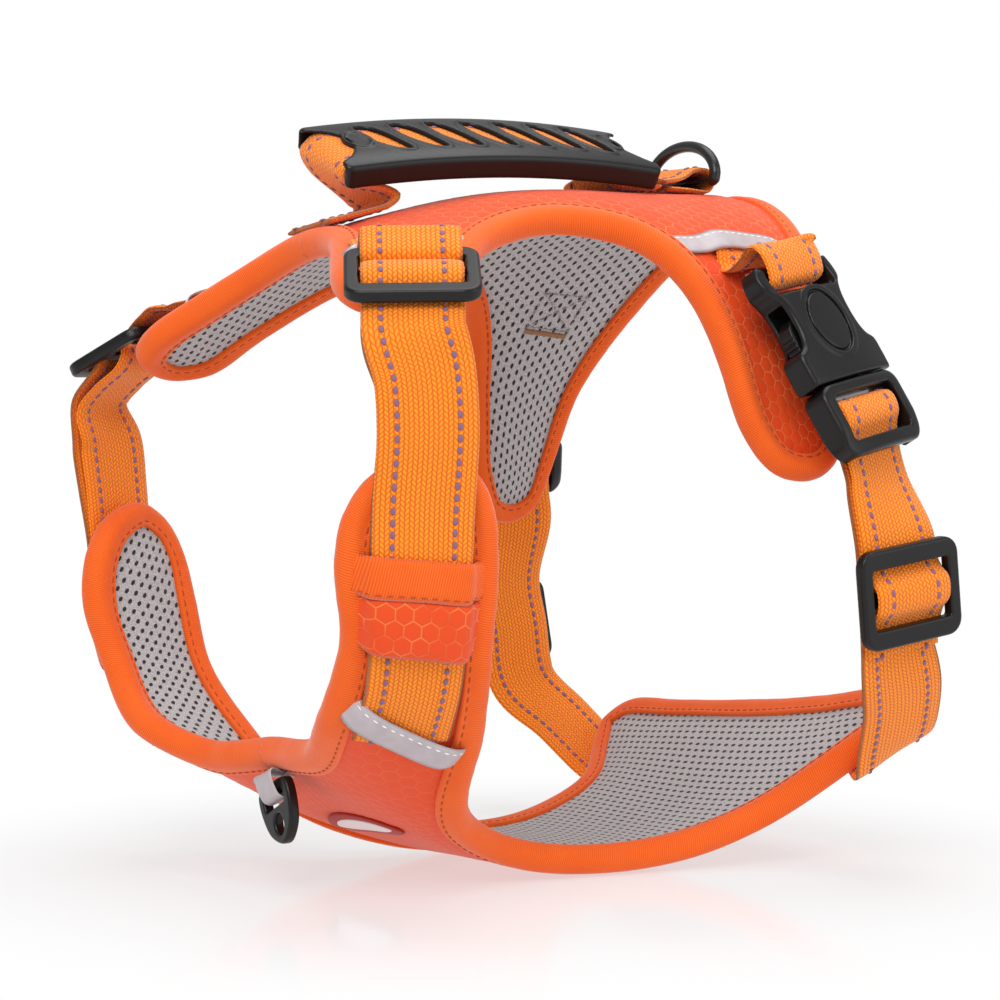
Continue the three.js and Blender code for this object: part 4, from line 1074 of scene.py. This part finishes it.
def shoulder_webbing(side, label, shoulder):
    """The anchor loop on the back panel, and the strap that turns round the slider's bar."""
    def on_back(a, b, height):
        return on_panel(BACK, side * a, b, height, [0.35, side])

    def on_chest_arm(up, height):
        a, b = on_arm(up, -0.8)
        return on_panel(CHEST, side * a, b, height, [0.69, side * 0.72])

    dress(strap(f"{label}_shoulder_anchor_loop", [
        on_back(39, -57, STRAP_LOW - 0.2),
        on_back(48, -60.5, STRAP_LOW + 0.3),
        on_back(57, -64.5, STRAP_LOW + 3.6),
        *shoulder.stations(
            (17, 4.6), (13.8, 4.0), (10.6, 3.2), (8.1, 2.0), (7.5, 0), (8.0, -1.9), (9.2, -2.4)),
    ], step=0.8), "webbing", [f"{label}_shoulder_anchor"])

    wide = [0.35, 0.94, 0]
    webbing = strap(f"{label}_shoulder_strap_webbing", [
        on_chest_arm(20, STRAP_LOW),
        on_chest_arm(36, STRAP_LOW),
        on_chest_arm(55, STRAP_LOW),
        on_chest_arm(78, STRAP_LOW + 0.4),
        loose(side, [84, -77, 112], wide),
        loose(side, [84.5, -78.5, 126], wide),
        *shoulder.stations(
            (-16.5, -9.6), (-9, -6.6), (0.5, -4.8), (4.2, -1.4), (3.0, 1.7), (0, OVER_BAR), (-3.0, 1.5),
            (-6, -1.8), (-10, LAYER_1 - 0.2), (-17, -6.6)),
        loose(side, [87.0, -80, 126], wide),
        loose(side, [86.2, -78.4, 112], wide),
        on_chest_arm(80, STRAP_TAIL + 0.6),
        on_chest_arm(62, STRAP_TAIL),
        on_chest_arm(47, STRAP_TAIL),
    ], step=1.0)
    dress(webbing, "webbing", [f"{label}_shoulder_strap"], None)
    start, end = loose(side, [85, -78, 108], wide)[:3], shoulder.place([0, -14, -4])
    metres(start)
    metres(end)
    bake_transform(webbing)


def girth_webbing(side, label, girth, clasp):
    """The buckle's anchor loop, and the strap from the belly through slider and plug and back."""
    def on_back_rear(a, b, height):
        return on_panel(BACK, side * a, b, height, [-0.2, side])

    def on_belly(a, b, height):
        return on_panel(CHEST, side * a, b, height, [0.6, side * 0.8])

    dress(strap(f"{label}_girth_anchor_loop", [
        on_back_rear(50, 50, STRAP_LOW),
        on_back_rear(57, 50, STRAP_LOW + 1.2),
        *clasp.stations(
            (33, 3.4), (29.2, 4.2), (25.5, 3.5), (23.2, 2.4), (22.5, 0), (23.2, -2.4), (25.5, -3.3),
            (29, -3.2)),
    ], step=0.8), "webbing", [f"{label}_girth_anchor"])

    webbing = strap(f"{label}_girth_strap_webbing", [
        on_belly(55, 181, STRAP_LOW),
        on_belly(62, 176, STRAP_LOW + 0.5),
        on_belly(69, 171, STRAP_LOW + 0.5),
        loose(side, [81, 75, 38], [0.25, 0.9, 0.36]),
        *girth.stations((-17, -6.5), (0, LAYER_2 - 0.2), (14, LAYER_2)),
        *clasp.stations(
            (-34, -7.1), (-26, -4.8), (-19.6, -4.0), (-15.4, -3.4), (-13.7, -2.5), (-12.9, 0), (-13.7, 2.5),
            (-15.4, 3.3), (-19.2, 2.6), (-22, 0), (-26, -2.2), (-34, -4.9)),
        *girth.stations((14, LAYER_1), (0, LAYER_1 - 0.6), (-16, LAYER_1 - 1.2)),
    ], step=1.0)
    dress(webbing, "webbing", [f"{label}_girth_strap"], None)
    start, end = loose(side, [72, 80, 30], [1, 0, 0])[:3], girth.place([0, -15, -5])
    metres(start)
    metres(end)
    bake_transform(webbing)
    turn = strap(f"{label}_girth_strap_turn", girth.stations(
        (11.5, LAYER_1 - 0.2), (8.4, LAYER_1 + 0.5), (5.4, -1.0), (3.0, 1.7), (0, OVER_BAR),
        (-3.0, 1.5), (-5.4, -1.0), (-8.4, LAYER_1 + 0.5), (-11.5, LAYER_1 - 0.2)), step=0.8)
    dress(turn, "webbing", (), f"{label}_girth_slider")


def strips(side, label):
    """The reflective strips over the strap ends, and the keeper and its band on the chest arm."""
    low, high = STRAP_LOW + 1.4, STRAP_LOW + 1.7
    chest_route = [on_arm(28, -14.8), on_arm(26.6, -12.4), on_arm(21, -1), on_arm(16, 10.6), on_arm(14, 15)]
    for name, surface, thread_side, route, heights in (
        ("front", BACK, side,
         [[46.8, -75.6], [46.4, -73], [44.8, -60], [43.7, -48], [43.3, -43.5], [42.6, -36.5]],
         [2.4, low - 0.2, high + 0.2, low, 4.0, 2.8]),
        ("rear", BACK, side,
         [[51, 22.5], [50.2, 33], [49.7, 38], [49, 50], [49, 62], [49.2, 67], [49.5, 75]],
         [2.8, 3.9, low, high, low, 3.9, 2.8]),
        ("chest", CHEST, -side, chest_route, [2.5, low - 0.4, high, low, 2.7]),
    ):
        strip = tape(
            f"{label}_{name}_reflector_tape", surface, np.array(route) * [side, 1], heights,
            REFLECTOR["width"], REFLECTOR["thick"], "reflective", "pale_thread", thread_side * 2.0)
        dress(strip, "reflective_tape", [f"{label}_{name}_reflector"])

    # Distance up the arm from the middle of a keeper, offset to the arm's rear, and height.
    over = [
        (1, -16.4, 2.7), (0.8, -14.6, 4.2), (0.7, -12.6, KEEPER_HIGH - 0.3), (0, -1, KEEPER_HIGH),
        (-0.7, 10.8, KEEPER_HIGH - 0.3), (-0.8, 13.2, 4.2), (-1, 15.6, 2.7),
    ]
    for name, up, lift, width, thick, cloth, thread, slot, node in (
        ("keeper_cloth", 52, 0.0, 14, 0.9, "back", None, "shell_fabric", "keeper"),
        ("keeper_band_tape", 63.5, 0.3, 9.5, 1.3, "binding", "seam_thread", "edge_binding", "keeper_band"),
    ):
        route = np.array([on_arm(up + tip, rear) for tip, rear, _ in over]) * [side, 1]
        heights = np.array([rise for _, _, rise in over]) + lift
        strip = tape(f"{label}_{name}", CHEST, route, heights, width, thick, cloth, thread, side * 3.6)
        dress(strip, slot, [f"{label}_{node}"])


def box_stitch(side, label):
    """The cross-stitched box and bar-tack that hold the girth anchor, seen on the lining."""
    corners = np.array([[44, 42], [56, 42], [56, 58], [44, 58]]) * [side, 1]
    bar = corners[1:3] + [1.6 * side, 0]
    build = Build()
    for kind, route in ((0, [*corners, corners[0], corners[2]]), (0, corners[[1, 3]]), (1, bar)):
        flat, _ = spaced(np.array(route, float), 0.5 if kind else 2.4)
        at = BACK.point(flat, LINING_EDGE - 1.25)
        out = unit(at - BACK.point(flat, 0))
        forward = unit(np.gradient(at, axis=0))
        if kind:
            forward = np.cross(forward, out)
        size = (0.9, 0.3, 0.35) if kind else (0.9, 0.22, 0.2)
        seeds(build, at, forward, np.cross(out, forward), out, size, kind)
    stitches = build.make(f"{label}_anchor_stitches", [CLOTH["lining_thread"], CLOTH["tan_thread"]])
    dress(stitches, "webbing", (), "harness")


def dress_side(side, label):
    shoulder = Seat(side, [75.4, -76.2, 150.6], [0.77, -0.45, -0.45], [0.4, -0.25, 0.88])
    girth = Seat(side, [96, 64, 67.5], [-0.05, 0.14, -0.98], [0.98, -0.03, 0.1])
    clasp = Seat(side, [77.3, 53, 131.5], [0.42, 0.26, -0.86], [0.86, 0.16, 0.46])
    hardware(side, label, shoulder, girth, clasp)
    shoulder_webbing(side, label, shoulder)
    girth_webbing(side, label, girth, clasp)
    strips(side, label)
    box_stitch(side, label)


# ---- Handle, rings, label ----
def handle():
    tilt, pitch = HANDLE["tilt"], HANDLE["pitch"]
    c, s = math.cos(tilt), math.sin(tilt)
    turn_y = np.array([[c, 0, s], [0, 1, 0], [-s, 0, c]])
    c, s = math.cos(pitch), math.sin(pitch)
    turn_x = np.array([[1, 0, 0], [0, c, -s], [0, s, c]])
    pivot = np.array([0, HANDLE["middle"], HANDLE["pivot"]])

    def place(points):
        return (np.asarray(points, float) @ turn_x.T + [0, 0, HANDLE["standing"]]) @ turn_y.T + pivot

    mould(
        "handle_grip_moulding", grip_field, (-15, -51.5, -12), (15, 51.5, 0.6), 0.5, place,
        "black_plastic", ["handle_grip"], "handle")

    def in_grip(y, z, share=1.0):
        return [*place([0, y, z]), math.cos(tilt * share), 0, -math.sin(tilt * share)]

    def tunnel(y):
        radius = GRIP_RADIUS - TUNNEL["top"] - WEBBING["thick"] / 2 - 0.1
        return math.sqrt(radius ** 2 - y ** 2) - GRIP_RADIUS

    def foot(b, height):
        return on_panel(BACK, 0, b, STRAP_LOW + height, [1, 0])

    end = GRIP["half"]
    webbing = strap("handle_webbing_strap", [
        foot(-60, 0), foot(-48, 0), foot(-40.5, 0.5), foot(-38.6, 2.2), foot(-40.5, 4.2),
        in_grip(-end + 5.5, -13.5, 0.5),
        in_grip(-end + 1.6, -8.6, 0.7),
        in_grip(-end + 2.6, tunnel(end) - 0.9, 0.9),
        in_grip(-end + 7, tunnel(end - 7)),
        *[in_grip(y, tunnel(y)) for y in (-38, -19, 0, 19, 38)],
        in_grip(end - 5, tunnel(end - 5)),
        in_grip(end - 2, tunnel(end) - 1.6, 0.9),
        in_grip(end - 4, -11.5, 0.4),
        foot(33, 5), foot(29.5, 3), foot(32, 0.6), foot(40, 0), foot(46, 0),
    ], step=1.0)
    dress(webbing, "webbing", ["handle_webbing"], None)
    metres([0, 0, 187])
    metres([0, 0, 199])
    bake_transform(webbing)


def leash_ring():
    bar = BACK.point([[0, 62]], 7.2)[0]
    c, s = math.cos(D_RING["lean"]), math.sin(D_RING["lean"])
    axes = np.array([[1, 0, 0], [0, s, c], [0, -c, s]])

    def place(points):
        return np.asarray(points, float) @ axes + bar

    mould(
        "leash_ring_wire", wire_field(d_ring_line(), D_RING["radius"]), (-17.5, -2, -2), (17.5, 13, 2),
        0.35, place, "coated_metal", ["leash_ring"], "leash_ring", METAL)
    loop = [(-14, -0.6), (-8, 0.4), (-3, 3.0), (1.5, 3.0), (3.3, 0), (1.5, -2.8), (-5, -2.7), (-12, -2.4)]
    stations = [[bar[0], bar[1] + y, bar[2] + z, 1, 0, 0] for y, z in loop]
    webbing = strap("leash_ring_loop", stations, width=23.0, step=0.8, thread_line=7.0)
    dress(webbing, "webbing", ["leash_ring_webbing"])


def chest_ring():
    root = CHEST.point([[0, 9.2]], 4.3)[0]
    axes = unit(np.array([[0.89, 0, 0.45], [-0.45, 0, 0.89], [0, -1, 0]]))
    origin = root + [3.4, -4.4, -1.4]

    def place(points):
        return np.asarray(points, float) @ axes + origin

    half, height, thick = CHEST_RING["half"], CHEST_RING["height"], CHEST_RING["thick"]
    mould(
        "chest_ring_moulding", chest_ring_field, (-half, -height, -thick / 2), (half, 0.2, thick / 2), 0.35,
        place, "black_plastic", ["chest_ring"], "chest_ring")
    loop = [(3, 2.6), (-1.4, 2.6), (-3.7, 1.6), (-4.3, 0), (-3.7, -1.6), (-1.4, -2.5), (2, -2.2)]
    stations = [[*place([0, y, z]), 0.93, 0, 0.36] for y, z in loop]
    ribbon = strap(
        "chest_ring_ribbon_loop", [on_panel(CHEST, 0, 9.2, 3.9, [1, 0]), *stations],
        width=9.0, thick=0.8, step=0.7, thread_line=None, material="reflective")
    dress(ribbon, "reflective_tape", ["chest_ring_ribbon"])


def label():
    """A plain lozenge patch with a pale centre and no mark."""
    build = Build()
    middle = np.array([0, 36.0])
    corners = [[-22, 0], [-14, -5.2], [14, -5.2], [22, 0], [14, 5.2], [-14, 5.2]]
    lozenge = curve(corners, closed=True, steps=6)
    for kind, across, along, low, high in ((0, 1.0, 1.0, 3.2, 4.0), (1, 0.76, 0.76 * 0.72, 4.0, 4.3)):
        rings = [(1.0, low), (1.0, high - 0.15), (0.97, high), (0.6, high), (0.25, high)]
        flat = [middle + lozenge * [share * across, share * along] for share, _ in rings]
        vertices = np.stack([CHEST.point(p, h) for p, (_, h) in zip(flat, rings)])
        loft(build, vertices, np.stack(flat), kind=kind)
    patch = build.make("chest_label_patch", [CLOTH["label"], CLOTH["label_centre"]])
    dress(patch, "label_patch", ["chest_label"])


panel("back", BACK_EDGE, BACK, 1.0)
panel("chest", CHEST_EDGE, CHEST, 0.5)
for side, name in ((1, "left"), (-1, "right")):
    dress_side(side, name)
handle()
leash_ring()
chest_ring()
label()


# ---- Studio ----
def floor_finish():
    """A glossy pale floor that fades to the plain white of the background away from the harness."""
    paint = bpy.data.materials.new("pale_floor")
    paint.use_nodes = True
    nodes, links = paint.node_tree.nodes, paint.node_tree.links
    surface = nodes["Principled BSDF"]
    surface.inputs["Base Color"].default_value = (0.93, 0.93, 0.935, 1)
    surface.inputs["Roughness"].default_value = 0.12
    surface.inputs["Specular IOR Level"].default_value = 0.8
    away = nodes.new("ShaderNodeVectorMath")
    away.operation = "LENGTH"
    links.new(nodes.new("ShaderNodeNewGeometry").outputs["Position"], away.inputs[0])
    fade = nodes.new("ShaderNodeMapRange")
    fade.interpolation_type = "SMOOTHSTEP"
    for name, value in (("From Min", 0.10), ("From Max", 0.20), ("To Min", 0.55), ("To Max", 1.0)):
        fade.inputs[name].default_value = value
    links.new(away.outputs["Value"], fade.inputs["Value"])
    blend = nodes.new("ShaderNodeMixShader")
    links.new(fade.outputs[0], blend.inputs["Fac"])
    links.new(surface.outputs[0], blend.inputs[1])
    links.new(nodes.new("ShaderNodeEmission").outputs[0], blend.inputs[2])
    links.new(blend.outputs[0], nodes["Material Output"].inputs["Surface"])
    return paint


def aim(obj, place, towards):
    """Puts a lamp or camera at a place, looking along a direction."""
    obj.location = place
    obj.rotation_mode = "QUATERNION"
    obj.rotation_quaternion = towards.to_track_quat("-Z", "Y")
    bpy.context.scene.collection.objects.link(obj)


def studio():
    scene = bpy.context.scene
    scene.view_settings.view_transform = "Standard"
    reach = 3.0
    corners = [(-reach, -reach, 0), (reach, -reach, 0), (reach, reach, 0), (-reach, reach, 0)]
    mesh = bpy.data.meshes.new("floor")
    mesh.from_pydata(corners, [], [(0, 1, 2, 3)])
    mesh.materials.append(floor_finish())
    floor = bpy.data.objects.new("floor", mesh)
    scene.collection.objects.link(floor)

    # The background is white to the camera, and dimmer as a light on the harness.
    world = bpy.data.worlds.new("studio")
    scene.world = world
    world.use_nodes = True
    tree = world.node_tree
    background = tree.nodes["Background"]
    background.inputs["Color"].default_value = (1, 1, 1, 1)
    path = tree.nodes.new("ShaderNodeLightPath")
    strength = tree.nodes.new("ShaderNodeMapRange")
    strength.inputs["To Min"].default_value = 0.5
    strength.inputs["To Max"].default_value = 1.0
    tree.links.new(path.outputs["Is Camera Ray"], strength.inputs["Value"])
    tree.links.new(strength.outputs[0], background.inputs["Strength"])

    target = Vector((0, 0, 0.1))
    for name, place, size, power in (
        ("key", (0.75, -0.75, 0.9), 0.7, 9.0),
        ("fill", (1.0, 0.6, 0.5), 0.9, 3.6),
        ("top", (0.0, 0.1, 1.1), 0.9, 6.5),
    ):
        light = bpy.data.lights.new(name, "AREA")
        light.size = size
        light.energy = power
        aim(bpy.data.objects.new(name, light), place, target - Vector(place))


def camera():
    """The photograph's viewpoint: from the harness's front left, almost level."""
    turn, rise, distance = math.radians(56.5), math.radians(2.0), 0.803
    target = Vector((0, -0.00165, 0.10155))
    level = math.cos(rise)
    back = Vector((math.sin(turn) * level, -math.cos(turn) * level, math.sin(rise)))
    data = bpy.data.cameras.new("camera")
    data.sensor_width = 36
    data.lens = 104.4
    obj = bpy.data.objects.new("camera", data)
    aim(obj, target + back * distance, -back)
    bpy.context.scene.camera = obj


studio()
camera()
